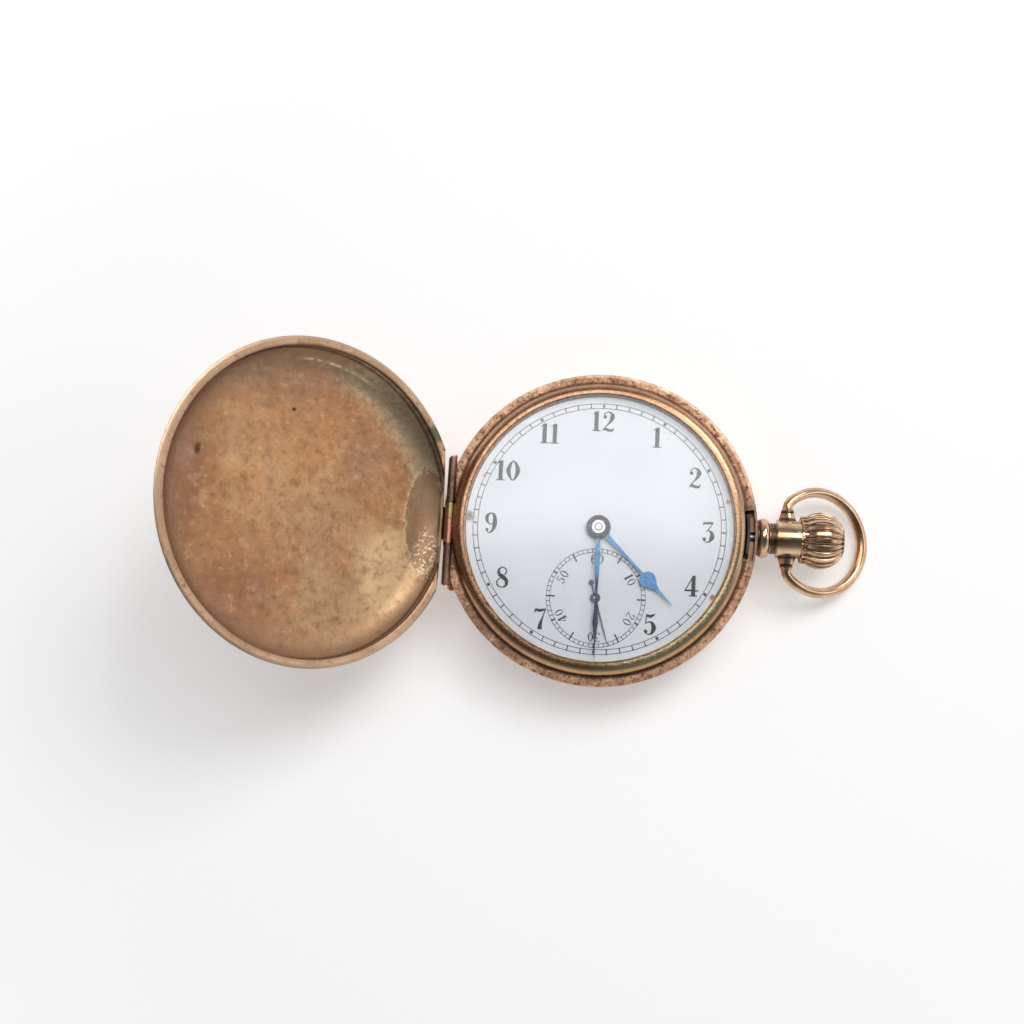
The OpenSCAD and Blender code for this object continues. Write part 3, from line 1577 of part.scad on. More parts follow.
// Lever with two arms, two stones and the notch for the impulse pin
module pallet_fork() {
    color("#9a9ca2")
    translate([pallet_p[0], pallet_p[1], 0]) rotate([0, 0, lever_turn]) difference() {
        union() {
            plate(fork_z, fork_z + fork_t) union() {
                circle(r = 0.6, $fn = small_fn);
                translate([0, -0.22]) square([fork_a - 1.9, 0.44]);
                translate([fork_a - 2.1, -0.6]) square([0.8, 1.2]);
                for (side = [-1, 1]) {
                    rotate(180 + side * fork_arm_turn) translate([0, -0.25]) square([1.75, 0.5]);
                }
            }
            for (side = [-1, 1]) {
                pallet_stone(side);
            }
            disc([0, 0], 0.25, zp - 1.7, zp + 0.45);
            disc([0, 0], pivot_r - run_gap, zp - 2.05, staff_pivot_end);
        }
        translate([fork_a - 1.75, -0.2, 0]) cube([1, 0.4, far]);
    }
}

// Stone at the end of one arm, in the fork's frame with the escape wheel at minus pallet_a
module pallet_stone(side) {
    translate([-pallet_a, 0, zp - 1.72]) rotate([0, 0, side * stone_turn])
        translate([escape_r + stone_gap, -0.17, 0]) cube([0.62, 0.34, 0.5]);
}

// Staff with its shoulders and the collet of the hairspring
module balance_staff() {
    color("#9a9ca2")
    translate([balance_p[0], balance_p[1], 0]) union() {
        disc([0, 0], staff_r, zp - 3.55, train_arbor_high);
        disc([0, 0], pivot_r - run_gap, zp - 4.1, staff_pivot_end);
        disc([0, 0], 0.55, zp - 2.45, zp - 2.1);
        disc([0, 0], collet_r, zp - 3.3, zp - 2.85);
    }
}

// Cut rim with its arm and timing screws
module balance_wheel() {
    rim_out = balance_r - 0.4;
    rim_in = rim_out - balance_rim_w;
    color("#cba65e")
    translate([balance_p[0], balance_p[1], 0]) difference() {
        union() {
            ring(rim_out, rim_in, zp - 3, zp - 2.35);
            plate(zp - 2.8, zp - 2.5) union() {
                circle(r = 1, $fn = small_fn);
                rotate(balance_arm_turn) translate([-rim_in - 0.1, -0.35]) square([2 * rim_in + 0.2, 0.7]);
            }
            for (i = [0 : timing_screws - 1]) {
                timing_screw(i, rim_out);
            }
        }
        for (i = [0, 1]) {
            rotate([0, 0, balance_arm_turn + i * 180 + balance_cut_turn])
                translate([rim_in - cut, -balance_cut_w / 2, 0]) cube([3, balance_cut_w, far]);
        }
        disc([0, 0], staff_r, 0, far);
    }
}

// Head of one timing screw on the rim
module timing_screw(i, r) {
    each_side = timing_screws / 2;
    turn = timing_first + (i % each_side) * timing_step + floor(i / each_side) * 180;
    rotate([0, 0, turn]) translate([r - 0.3, 0, zp - 2.675])
        rotate([0, 90, 0]) cylinder(r = timing_screw_r, h = timing_screw_len, $fn = 24);
}

// Disc with the impulse pin, which stands towards the fork
module roller() {
    color("#9a9ca2")
    difference() {
        union() {
            disc(balance_p, 1.2, roller_low, roller_low + 0.2, 48);
            disc(impulse_p, impulse_r, roller_low, zp - 1.35);
        }
        disc(balance_p, staff_r, 0, far);
    }
}

module hairspring() {
    color("#4a5f9e")
    translate([balance_p[0], balance_p[1], 0]) plate(zp - 3.25, zp - 3.1) spiral_2d(0.62, 0.28, 9, 0.06, 24);
}

// Sub-parts by name

case_band();
pendant();
pendant_sleeve();
bezel();
crystal();
front_cover();
back_cover();
cuvette();
front_hinge_pin();
back_hinge_pin();
lock_spring();
lift_spring();
case_spring_screws();
crown();
winding_stem();
bow();
dial();
hour_hand();
minute_hand();
seconds_hand();
cannon_pinion();
minute_wheel();
hour_wheel();
setting_wheel();
winding_pinion();
castle_wheel();
setting_lever();
yoke();
yoke_spring();
main_plate();
barrel_bridge();
train_bridge();
balance_cock();
pallet_cock();
bridge_screws();
case_screws();
train_jewels();
balance_jewels();
barrel();
barrel_arbor();
mainspring();
ratchet_wheel();
ratchet_screw();
crown_wheel();
crown_wheel_screw();
click();
click_spring();
centre_pinion();
centre_wheel();
third_pinion();
third_wheel();
fourth_pinion();
fourth_wheel();
escape_pinion();
escape_wheel();
pallet_fork();
balance_wheel();
balance_staff();
roller();
hairspring();
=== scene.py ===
"""The full hunter pocket watch: its looks, the printing of its dial, the light and the camera."""

import math

import bmesh
import bpy
from mathutils import Matrix, Vector


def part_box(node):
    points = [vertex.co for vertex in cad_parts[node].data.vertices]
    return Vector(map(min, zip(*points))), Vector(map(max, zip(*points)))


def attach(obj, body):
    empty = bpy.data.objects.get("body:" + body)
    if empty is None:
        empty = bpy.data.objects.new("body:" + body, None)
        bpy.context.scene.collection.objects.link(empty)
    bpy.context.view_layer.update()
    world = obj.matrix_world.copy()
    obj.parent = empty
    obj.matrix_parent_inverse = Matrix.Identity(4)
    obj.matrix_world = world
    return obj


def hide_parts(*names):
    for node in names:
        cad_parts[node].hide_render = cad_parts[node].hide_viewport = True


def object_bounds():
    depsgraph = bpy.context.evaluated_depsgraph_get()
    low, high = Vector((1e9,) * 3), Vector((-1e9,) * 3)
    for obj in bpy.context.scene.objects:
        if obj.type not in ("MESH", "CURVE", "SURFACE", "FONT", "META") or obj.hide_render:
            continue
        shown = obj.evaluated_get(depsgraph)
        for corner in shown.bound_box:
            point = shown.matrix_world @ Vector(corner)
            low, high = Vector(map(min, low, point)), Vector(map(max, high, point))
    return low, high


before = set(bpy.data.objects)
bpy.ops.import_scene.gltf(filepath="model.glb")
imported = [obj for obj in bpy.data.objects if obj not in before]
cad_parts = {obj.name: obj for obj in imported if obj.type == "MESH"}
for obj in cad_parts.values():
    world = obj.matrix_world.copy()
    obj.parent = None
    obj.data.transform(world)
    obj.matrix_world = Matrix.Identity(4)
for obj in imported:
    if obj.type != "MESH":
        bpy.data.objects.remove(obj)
cad_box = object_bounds()

MM = 0.001

# The camera, as fitted to the photograph: place in millimetres, turn in radians
CAMERA_PLACE = (2.575, -27.372, 214.1)
CAMERA_TURN = (0.1462, 0.0723, 0.0573)
CAMERA_LENS = 45.55
CAMERA_SENSOR = 36

# The dial: the top of the enamel and the thickness of the ink on it, in millimetres
DIAL_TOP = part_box("dial")[1].z / MM
INK_T = 0.012
INK_SUNK = 0.004
INK_STEP = 0.0006
DIAL_TURN = 0.2

# The minute track
TRACK_OUT = 20.0
TRACK_IN = 19.25
TRACK_LINE = 0.11
MINUTES = 60
FIVE = 5
QUARTER = 15
TICK_W = 0.17
TICK_PAST = 0.1
SQUARE = 0.46
DIAMOND_LEN = 1.3
DIAMOND_W = 0.5
DIAMOND_WAIST = (0.225, 0.33)

# The hour numerals
HOUR_R = 17.15
HOUR_H = 3.3
HOURS = (1, 2, 3, 4, 5, 7, 8, 9, 10, 11, 12)
HOUR_STEP = 30

# The digits, in hundredths of their height: the gap between two, a fine stroke and a full one
DIGIT_H = 100
DIGIT_GAP = 10
THIN = 5.5
THICK = 22

# The seconds track, and how far its middle lies below the dial's
SECONDS_BELOW = 11.15
SECONDS_OUT = 7.77
SECONDS_IN = 7.2
SECONDS_LINE = 0.09
SECONDS_TICK_W = 0.12
SECONDS_LONG_W = 0.24
SECONDS_LONG = 1.36
SECONDS_TEN = 10
SECONDS_TEN_W = 0.26
SECONDS_R = 6.15
SECONDS_H = 1.5
SECONDS_WEIGHT = 0.62

# The sides of the open cover, each with a material of its own
OUTSIDE, LIP, INSIDE, HINGE = range(4)

# The case as the source gives it, in millimetres and degrees
HINGE_X = sum(corner.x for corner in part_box("front_hinge_pin")) / 2 / MM
HINGE_Z = sum(corner.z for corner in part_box("front_hinge_pin")) / 2 / MM
SEAT_Z = HINGE_Z - 0.2
LID_OPEN = 140
LID_R = 25.0
LID_WALL = 0.55
LID_STAND_OFF = 1.22
LIP_IN = 23.6
LIP_T = 0.5
LIP_ROUND = 0.09
LIP_BY_HINGE = 0.45
LIP_GAP = 0.04
BEZEL_ROOM = 0.1
RIM_ROUND = ((0.0, 0.2, OUTSIDE), (0.04, 0.1, LIP), (0.18, LIP_GAP, LIP))
LIP_INNER = ((LIP_ROUND, LIP_GAP, LIP), (0.0, LIP_GAP + 0.07, LIP))
LIP_INNER += ((0.0, LIP_T - 0.05, INSIDE), (0.06, LIP_T, INSIDE))
HINGE_COSINE = -0.5
LID_KNUCKLE = (-3.63, 2.93)
LID_LEAF = (-3.0, 2.3)
KNUCKLE_R = 0.76
KNUCKLE_BORE = 0.34
KNUCKLE_SPLIT = 0.4
KNUCKLE_GROOVE = 0.09
KNUCKLE_BEVEL = 0.08
KNUCKLE_STEPS = 40
WINDOW_R = 21.5
GLASS_R = 21.95
GLASS_GROOVE = (1.3, 1.8)
GLASS_EDGE_R = 21.9
GLASS_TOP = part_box("crystal")[1].z / MM
GLASS_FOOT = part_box("crystal")[0].z / MM
GLASS_BOW_R = 232
GLASS_T = 0.85
BEZEL_H = 1.88
STEM_Z = 6.6
BOW_X = 29.9
BOW_DROOP = 24
BOW_R = 8.12
BOW_MID = 5.82
BOW_WIRE_R = 0.93
CROWN_FLUTES = 24

# The cover's softer section: how far its wall leans in at the rim, and the radius of its shoulder
LID_LEAN = 20
LID_SHOULDER = 6.1
LID_DOME_R = 680
LID_STEPS = 192
DOME_ROWS = 8
SHOULDER_ROWS = 16
LEAF = ((-0.35, 0.1), (0.35, 0.1), (0.5, 1.5), (0.85, 2.0), (0.4, 2.15), (-0.2, 1.8), (-0.35, 1.2))
TAB = ((-0.62, -0.2), (-0.3, -0.1), (-0.28, 1.55), (-0.42, 1.7), (-0.56, 1.5))
TAB_Y = (0.5, 1.35)

# The bezel, which reaches over the inner edge of the band, but not at the catch
BEZEL_R = 23.42
BEZEL_FLAT_R = 21.75
BEZEL_FOOT = 0.14
CATCH_CLEAR_R = 23.0
CATCH_CLEAR = 10.2
BEZEL_EDGE = ((0.05, 0.04), (0.08, 0.01))
BEZEL_SOFT = 0.04
BEZEL_ROWS = 14
BEZEL_STEPS = 288

# The bow: distance from the neck's axis and radius at its root, and where its bend meets the round
BOW_ROOT = ((3.4, 0.53), (4.24, 0.53), (4.25, 1.0), (4.34, 1.06), (4.55, 1.02), (4.85, 0.86), (5.15, 0.77))
BOW_JOIN = 105
BOSS_FLARE = ((0.8, 2.3), (1.75, 2.3), (1.68, 2.62), (1.54, 2.86), (1.38, 3.15))
BOSS_FLARE += ((1.26, 3.5), (1.18, 3.85), (1.12, 4.08), (1.0, 4.16), (0.8, 4.16))
FLARE_STEPS = 64
BOW_PULL = 3.4
BOW_SIDE_R = 0.84
BEND_ROWS = 12
ARC_ROWS = 40
WIRE_STEPS = 28

# The room: brightness of its walls and its top, and the height at which one has become the other
ROOM_WALLS = 0.48
ROOM_TOP = 0.08
ROOM_REACH = 0.9

# The heights between which the white horizon, which only the eye sees, fades
HORIZON = (0.2, 0.55)

# The floor: how much white the eye sees on it near the watch and far from it, and those two distances
FLOOR_GLOW = (0.34, 0.86)
FLOOR_REACH = (80, 330)
FLOOR_SIZE = 3.0
FLOOR_BELOW = 0.00002

# How brightly the case and its open cover are lit
METAL_LIGHT = 0.7
LID_LIGHT = 0.92

# Each lamp: name, place, turn in degrees, size and power
LAMPS = (
    ("overhead", (15, 205, 560), (0, 0, 4), (450, 300), 1.05),
    ("key", (560, 610, 900), (-34, 29, 0), (520, 520), 4.6),
    ("side", (1000, 100, 560), (-5, 60, 0), (460, 460), 0.9),
)

# How smooth the shapes are
POLE_R = 0.001
SHARP = math.radians(38)
SMOOTH_STEPS = 7
RING_STEPS = 180
INK_LAYERS = 7
DOT_STEPS = 16

# Below this place along Y the minute hand is painted darker, a painted shade; the hubs of the hands are
# dark too
MINUTE_PAINTED_SHADE_Y = -8.0
HUB_R = 1.95

# Patches on the inside of the cover: place and half axes in plan, softness, raggedness, look and share
LID_PATCHES = (
    ((-3, 12.5), (9, 5), 0.6, 1.2, (176, 118, 80), 0.5),
    ((6, 6), (10, 10), 0.6, 1.0, (188, 146, 104), 0.6),
    ((-10, 10), (5, 6), 0.5, 1.4, (158, 122, 98), 0.6),
    ((-2, -4), (9, 6), 0.6, 1.2, (170, 134, 104), 0.6),
    ((11, -16), (12, 6), 0.5, 1.0, (148, 104, 80), 0.8),
    ((20, 2), (5, 15), 0.5, 1.0, (136, 98, 76), 0.8),
    ((9, 19), (13, 5), 0.5, 1.0, (140, 110, 90), 0.7),
    ((-4, -16), (8, 7), 0.5, 1.0, (172, 142, 110), 0.7),
    ((-15.5, -10.5), (5.5, 7), 0.5, 1.2, (214, 184, 140), 0.8),
)

# Chips and stains near the edge of the dial: place, radius and colour
DIAL_STAINS = (
    ((-20.75, 0.9), 0.8, (92, 92, 72)),
    ((18.2, -10.2), 0.45, (150, 90, 72)),
    ((20.2, 5.0), 0.4, (168, 112, 96)),
    ((-18.6, 7.6), 0.3, (196, 140, 136)),
)

# Pieces of one metal
STEEL = ("front_hinge_pin", "back_hinge_pin", "winding_stem", "setting_wheel", "winding_pinion")
STEEL += ("castle_wheel", "setting_lever", "yoke", "barrel_arbor", "ratchet_wheel", "crown_wheel", "click")
STEEL += ("third_pinion", "fourth_pinion", "escape_pinion", "pallet_fork", "balance_staff", "roller")
STEEL += ("pallet_cock",)
SPRINGS = ("lift_spring", "yoke_spring", "mainspring", "click_spring", "hairspring")
WHEELS = ("minute_wheel", "hour_wheel", "barrel", "centre_wheel", "third_wheel", "fourth_wheel")
WHEELS += ("escape_wheel", "balance_wheel")


def add_object(name, data):
    """A new object in the scene."""
    obj = bpy.data.objects.new(name, data)
    bpy.context.collection.objects.link(obj)
    return obj


def at(x, z):
    """A move to a place over the axis Y, in millimetres."""
    return Matrix.Translation(Vector((x, 0, z)) * MM)


def turned(degrees, axis):
    """A turn about an axis."""
    return Matrix.Rotation(math.radians(degrees), 4, axis)


def mesh_object(bm, name):
    """The mesh as a new object."""
    mesh = bpy.data.meshes.new(name)
    bm.to_mesh(mesh)
    bm.free()
    return add_object(name, mesh)


def turns(steps):
    """Even turns round a circle, in radians."""
    return [2 * math.pi * i / steps for i in range(steps)]


def skin(bm, rows, closed=False):
    """Faces between rows of points, each a loop or a pole; rows that don't close get a face on each end."""
    faces = []
    n = len(rows)
    for k in range(n if closed else n - 1):
        a, b = rows[k], rows[(k + 1) % n]
        size = max(len(a), len(b))
        for i in range(size):
            j = (i + 1) % size
            corners = (a[i % len(a)], a[j % len(a)], b[j % len(b)], b[i % len(b)])
            faces.append(bm.faces.new(list(dict.fromkeys(corners))))
    for end in () if closed else (rows[0], rows[-1][::-1]):
        if len(end) > 1:
            faces.append(bm.faces.new(end))
    return faces


# Shapes of the printing, and the three kinds of them


OPEN, CLOSED, FILLED = range(3)


def polar(r, degrees):
    """A point at radius r and an angle that runs clockwise from 12 o'clock."""
    a = math.radians(degrees)
    return Vector((r * math.sin(a), r * math.cos(a)))


def catmull(t, a, b, c, d):
    """A value between b and c on the curve through all four."""
    bend = (2 * a - 5 * b + 4 * c - d) * t * t + (3 * b - a - 3 * c + d) * t**3
    return 0.5 * (2 * b + (c - a) * t + bend)


def neighbour(points, i, closed):
    """Point i of a curve; past the end of an open one it is the end itself."""
    n = len(points)
    return points[i % n if closed else min(max(i, 0), n - 1)]


def spline(points, closed):
    """Points with widths, made smooth by a Catmull-Rom curve through them."""
    out = []
    for i in range(len(points) if closed else len(points) - 1):
        p = [neighbour(points, i + k, closed) for k in (-1, 0, 1, 2)]
        for s in range(SMOOTH_STEPS):
            t = s / SMOOTH_STEPS
            out.append(tuple(catmull(t, *values) for values in zip(*p)))
    if not closed:
        out.append(tuple(points[-1]))
    return out


def ribbon(points, closed):
    """The two edges of a pen stroke whose width changes along it."""
    path = spline(points, closed)
    left, right = [], []
    for i, (x, y, w) in enumerate(path):
        a, b = neighbour(path, i - 1, closed), neighbour(path, i + 1, closed)
        d = Vector((b[0] - a[0], b[1] - a[1])).normalized()
        side = Vector((-d.y, d.x)) * (w / 2)
        left.append(Vector((x, y)) + side)
        right.append(Vector((x, y)) - side)
    return left, right


def loop(*points):
    """A filled shape with straight sides."""
    return [Vector(p) for p in points], FILLED


def dot(x, y, r):
    """A filled round spot."""
    return [Vector((x + r * math.cos(a), y + r * math.sin(a))) for a in turns(DOT_STEPS)], FILLED


def pen(*points):
    """An open stroke."""
    return points, OPEN


def bowl(*points):
    """A stroke that meets its own start."""
    return points, CLOSED


# Each digit, in hundredths of its height: its width, then its strokes (x, y, width) and filled shapes
DIGITS = {
    "0": (
        66,
        bowl((33, 98, THIN), (10, 50, THICK), (33, 2, THIN), (56, 50, THICK)),
    ),
    "1": (
        40,
        pen((4, 86, THIN), (13, 89, 5), (20, 97, 7)),
        loop((13, 3), (33, 3), (33, 100), (26, 100), (13, 90)),
        loop((2, 0), (44, 0), (44, THIN), (2, THIN)),
    ),
    "2": (
        62,
        pen(
            (12, 74, 9), (13, 88, 5), (30, 97.5, 5), (47, 86, 15), (49, 72, THICK), (42, 52, 14),
            (25, 32, 6), (9, 10, 5),
        ),
        pen((5, 6, 5), (18, 12, 13), (36, 6, 14), (50, 7, 10), (58, 19, 4)),
        dot(14, 72, 8.5),
    ),
    "3": (
        60,
        pen((9, 83, 3), (10, 93, 8), (30, 93, 13), (54, 96, 6)),
        pen((54, 96, 4), (40, 75, 4.5), (27, 57, 4.5)),
        pen(
            (22, 56, 4), (38, 56, 8), (49, 42, 17), (49, 24, THICK), (38, 6, 10), (22, 2, 5),
            (11, 13, 7),
        ),
        dot(13, 17, 8.5),
    ),
    "4": (
        68,
        pen((42, 99, THIN), (23, 62, THIN), (4, 28, THIN)),
        loop((34, 3), (53, 3), (53, 100), (43, 100), (34, 84)),
        loop((0, 24), (66, 24), (66, 31), (14, 33), (3, 30)),
        loop((24, 0), (63, 0), (63, THIN), (24, THIN)),
    ),
    "5": (
        60,
        pen((14, 97, 5), (20, 90, 13), (36, 88, 14), (54, 99, 3)),
        pen((15, 96, 5), (13, 72, 4.5), (12, 52, 4.5)),
        pen(
            (12, 52, 4), (27, 61, 6), (43, 54, 14), (50, 32, THICK), (41, 8, 12), (24, 2, 5),
            (11, 13, 7),
        ),
        dot(13, 16, 8.5),
    ),
    "6": (
        64,
        pen(
            (50, 85, 6), (40, 97.5, 5), (22, 85, 13), (12, 50, THICK), (17, 14, 16), (33, 2, 6),
            (50, 14, 15), (52, 32, 17), (42, 52, 8), (28, 55, 4), (16, 44, 4),
        ),
        dot(50, 83, 7),
    ),
    "7": (
        62,
        pen((5, 79, 3), (9, 93, 10), (30, 90, 15), (58, 98, 5)),
        pen((57, 97, 4), (44, 60, 7), (34, 25, 17), (32, 0, 22)),
    ),
    "8": (
        64,
        bowl(
            (32, 98, 5), (14, 84, 12), (17, 65, 17), (36, 50, 20), (53, 33, 18), (50, 10, 12),
            (30, 2, 5), (10, 12, 7), (10, 32, 6), (30, 52, 4.5), (49, 70, 6), (49, 88, 7),
        ),
    ),
    "9": (
        64,
        pen(
            (48, 56, 4), (36, 45, 4), (22, 48, 8), (12, 68, 17), (15, 86, 15), (31, 98, 6),
            (47, 86, 16), (52, 50, THICK), (42, 15, 13), (24, 2.5, 5), (14, 15, 6),
        ),
        dot(15, 17, 7.5),
    ),
}


class Print:
    """Flat ink shapes on the dial, gathered in one mesh, in millimetres."""

    def __init__(self):
        self.bm = bmesh.new()
        self.count = 0

    def top(self):
        """Each shape lies a hair higher than the one before, so that no two faces meet."""
        self.count += 1
        return DIAL_TOP + INK_T + INK_STEP * (self.count % INK_LAYERS)

    def point(self, p, z):
        return self.bm.verts.new((p.x * MM, p.y * MM, z * MM))

    def prism(self, outline):
        """A filled outline with its sides."""
        rows = [[self.point(p, z) for p in outline] for z in (DIAL_TOP - INK_SUNK, self.top())]
        skin(self.bm, rows)

    def strip(self, left, right, closed):
        """A band between two edges, with its sides."""
        z = self.top()
        low = DIAL_TOP - INK_SUNK
        rows = []
        for a, b in zip(left, right):
            rows.append([self.point(a, z), self.point(b, z), self.point(b, low), self.point(a, low)])
        skin(self.bm, rows, closed)

    def ring(self, centre, r, line):
        """A thin circle."""
        angles = [360 * i / RING_STEPS for i in range(RING_STEPS)]
        edges = [[Vector(centre) + polar(far, a) for a in angles] for far in (r + line / 2, r - line / 2)]
        self.strip(*edges, True)

    def bar(self, centre, degrees, r0, r1, w):
        """A straight mark along a radius."""
        along = polar(1, degrees)
        side = Vector((along.y, -along.x)) * (w / 2)
        near, far = Vector(centre) + along * r0, Vector(centre) + along * r1
        self.prism([near + side, far + side, far - side, near - side])

    def diamond(self, degrees, r, length, width):
        """A pointed mark with hollow sides, set along a radius."""
        along = polar(1, degrees)
        side = Vector((along.y, -along.x))
        long, wide = DIAMOND_WAIST
        pts = []
        for tip, waist in (((0, 1), (1, 1)), ((1, 0), (1, -1)), ((0, -1), (-1, -1)), ((-1, 0), (-1, 1))):
            pts.append((tip[0], tip[1]))
            pts.append((waist[0] * wide, waist[1] * long))
        self.prism([along * (r + y * length / 2) + side * (x * width / 2) for x, y in pts])

    def number(self, text, centre, height, degrees, weight):
        """A number with its middle at centre, turned by degrees anticlockwise."""
        widths = [DIGITS[ch][0] for ch in text]
        total = sum(widths) + DIGIT_GAP * (len(text) - 1)
        x_axis, y_axis = polar(1, 90 - degrees), polar(1, -degrees)
        cursor = -total / 2
        unit = height / DIGIT_H

        def place(p):
            return Vector(centre) + (x_axis * p.x + y_axis * (p.y - DIGIT_H / 2)) * unit

        for ch, width in zip(text, widths):
            shift = Vector((cursor, 0))
            for points, kind in DIGITS[ch][1:]:
                if kind == FILLED:
                    self.prism([place(p + shift) for p in points])
                    continue
                heavy = [(x, y, max(w * weight, THIN)) for x, y, w in points]
                left, right = ribbon(heavy, kind == CLOSED)
                left, right = ([place(p + shift) for p in edge] for edge in (left, right))
                self.strip(left, right, kind == CLOSED)
            cursor += width + DIGIT_GAP

    def finish(self, name):
        """The mesh as an object."""
        bmesh.ops.recalc_face_normals(self.bm, faces=self.bm.faces)
        return mesh_object(self.bm, name)


def minute_print():
    """The minute track with its squares, and the diamonds at the quarters."""
    ink = Print()
    ink.ring((0, 0), TRACK_OUT, TRACK_LINE)
    ink.ring((0, 0), TRACK_IN, TRACK_LINE)
    mid = (TRACK_OUT + TRACK_IN) / 2
    for m in range(MINUTES):
        angle = m * 360 / MINUTES - DIAL_TURN
        if m % QUARTER == 0:
            ink.diamond(angle, mid, DIAMOND_LEN, DIAMOND_W)
        elif m % FIVE == 0:
            ink.bar((0, 0), angle, mid - SQUARE / 2, mid + SQUARE / 2, SQUARE)
        else:
            ink.bar((0, 0), angle, TRACK_IN, TRACK_OUT + TICK_PAST, TICK_W)
    return ink.finish("minute_track")


def hour_print():
    """The hour numerals, all but the one that the seconds dial takes."""
    ink = Print()
    for h in HOURS:
        at = polar(HOUR_R, h * HOUR_STEP - DIAL_TURN)
        ink.number(str(h), at, HOUR_H, DIAL_TURN, 1)
    return ink.finish("hour_numerals")


def seconds_print():
    """The seconds track and its numerals, which stand on the radii."""
    ink = Print()
    c = polar(SECONDS_BELOW, 180 - DIAL_TURN)
    ink.ring(c, SECONDS_OUT, SECONDS_LINE)
    ink.ring(c, SECONDS_IN, SECONDS_LINE)
    for s in range(MINUTES):
        angle = s * 360 / MINUTES - DIAL_TURN
        if s % SECONDS_TEN == FIVE:
            ink.bar(c, angle, SECONDS_OUT - SECONDS_LONG, SECONDS_OUT, SECONDS_LONG_W)
        elif s % SECONDS_TEN == 0:
            ink.bar(c, angle, SECONDS_IN, SECONDS_OUT + TICK_PAST, SECONDS_TEN_W)
        else:
            ink.bar(c, angle, SECONDS_IN, SECONDS_OUT, SECONDS_TICK_W)
    for s in range(SECONDS_TEN, MINUTES + 1, SECONDS_TEN):
        angle = s * 360 / MINUTES - DIAL_TURN
        ink.number(str(s), c + polar(SECONDS_R, angle), SECONDS_H, -angle, SECONDS_WEIGHT)
    return ink.finish("seconds_track")


# Pieces that stand for nodes of the part


def revolve(bm, profile, steps, closed, inward=None):
    """Faces swept by a profile of (radius, height, slot) round the axis Z, in millimetres.

    Where inward is given it may pull the points of every slot but the first in towards the axis.
    """
    rows = []
    for r, z, slot in profile:
        if r < POLE_R:
            rows.append([bm.verts.new((0, 0, z * MM))])
            continue
        row = []
        for a in turns(steps):
            far = inward(r, z, a) if inward and slot != OUTSIDE else r
            row.append(bm.verts.new((far * math.cos(a) * MM, far * math.sin(a) * MM, z * MM)))
        rows.append(row)
    for i, face in enumerate(skin(bm, rows, closed)):
        face.material_index = profile[i // steps][2]
    return [v for row in rows for v in row]


def as_object(bm, name, *materials):
    """The mesh as a smooth object with hard edges where it turns sharply."""
    bmesh.ops.recalc_face_normals(bm, faces=bm.faces)
    for face in bm.faces:
        face.smooth = True
    for edge in bm.edges:
        edge.smooth = edge.calc_face_angle(0.0) < SHARP
    obj = mesh_object(bm, name)
    for mat in materials:
        obj.data.materials.append(mat)
    return obj


def dome_z(r, rise):
    """Height of the flat dome of the cover at radius r."""
    return rise - r * r / (2 * LID_DOME_R)


def lid_profile():
    """Half section of the closed cover: outside, rim, lip and inside, from pole to pole."""
    lean = math.radians(LID_LEAN)
    shoulder = LID_SHOULDER
    mid_r = LID_R - shoulder * math.cos(lean)
    mid_z = -shoulder * math.sin(lean)
    top = mid_z + shoulder
    rise = top + mid_r * mid_r / (2 * LID_DOME_R)
    out = [(0, rise, OUTSIDE)]
    for k in range(1, DOME_ROWS):
        r = mid_r * k / DOME_ROWS
        out.append((r, dome_z(r, rise), OUTSIDE))
    for k in range(SHOULDER_ROWS):
        a = math.pi / 2 + (lean - math.pi / 2) * k / SHOULDER_ROWS
        out.append((mid_r + shoulder * math.cos(a), mid_z + shoulder * math.sin(a), OUTSIDE))
    out += [(LID_R - back, up, slot) for back, up, slot in RIM_ROUND]
    out += [(LIP_IN + back, up, slot) for back, up, slot in LIP_INNER]
    inner = shoulder - LID_WALL
    first = math.asin((LIP_T - mid_z) / inner)
    for k in range(SHOULDER_ROWS + 1):
        a = first + (math.pi / 2 - first) * k / SHOULDER_ROWS
        out.append((mid_r + inner * math.cos(a), mid_z + inner * math.sin(a), INSIDE))
    for k in range(DOME_ROWS - 1, 0, -1):
        r = mid_r * k / DOME_ROWS
        out.append((r, dome_z(r, rise) - LID_WALL, INSIDE))
    out.append((0, rise - LID_WALL, INSIDE))
    return out


def knuckle(bm):
    """The middle knuckle of the cover, bored for the pin, with the groove between its two parts."""
    low, high = LID_KNUCKLE
    r, bore = KNUCKLE_R, KNUCKLE_BORE
    split, groove, bevel = KNUCKLE_SPLIT, KNUCKLE_GROOVE, KNUCKLE_BEVEL
    flat = groove / 3
    profile = [(bore, low), (r - bevel, low), (r, low + bevel), (r, split - groove)]
    profile += [(r - groove, split - flat), (r - groove, split + flat), (r, split + groove)]
    profile += [(r, high - bevel), (r - bevel, high), (bore, high)]
    verts = revolve(bm, [(a, b, HINGE) for a, b in profile], KNUCKLE_STEPS, True)
    bmesh.ops.transform(bm, matrix=at(HINGE_X, HINGE_Z - SEAT_Z) @ turned(-90, "X"), verts=verts)


def leaf(bm):
    """The leaf that joins the knuckle to the wall, and the small tab that laps over it."""
    for outline, low, high in ((LEAF, *LID_LEAF), (TAB, *TAB_Y)):
        rows = []
        for y in (low, high):
            corners = [(HINGE_X + x, y, HINGE_Z - SEAT_Z + z) for x, z in outline]
            rows.append([bm.verts.new(Vector(corner) * MM) for corner in corners])
        for face in skin(bm, rows):
            face.material_index = HINGE


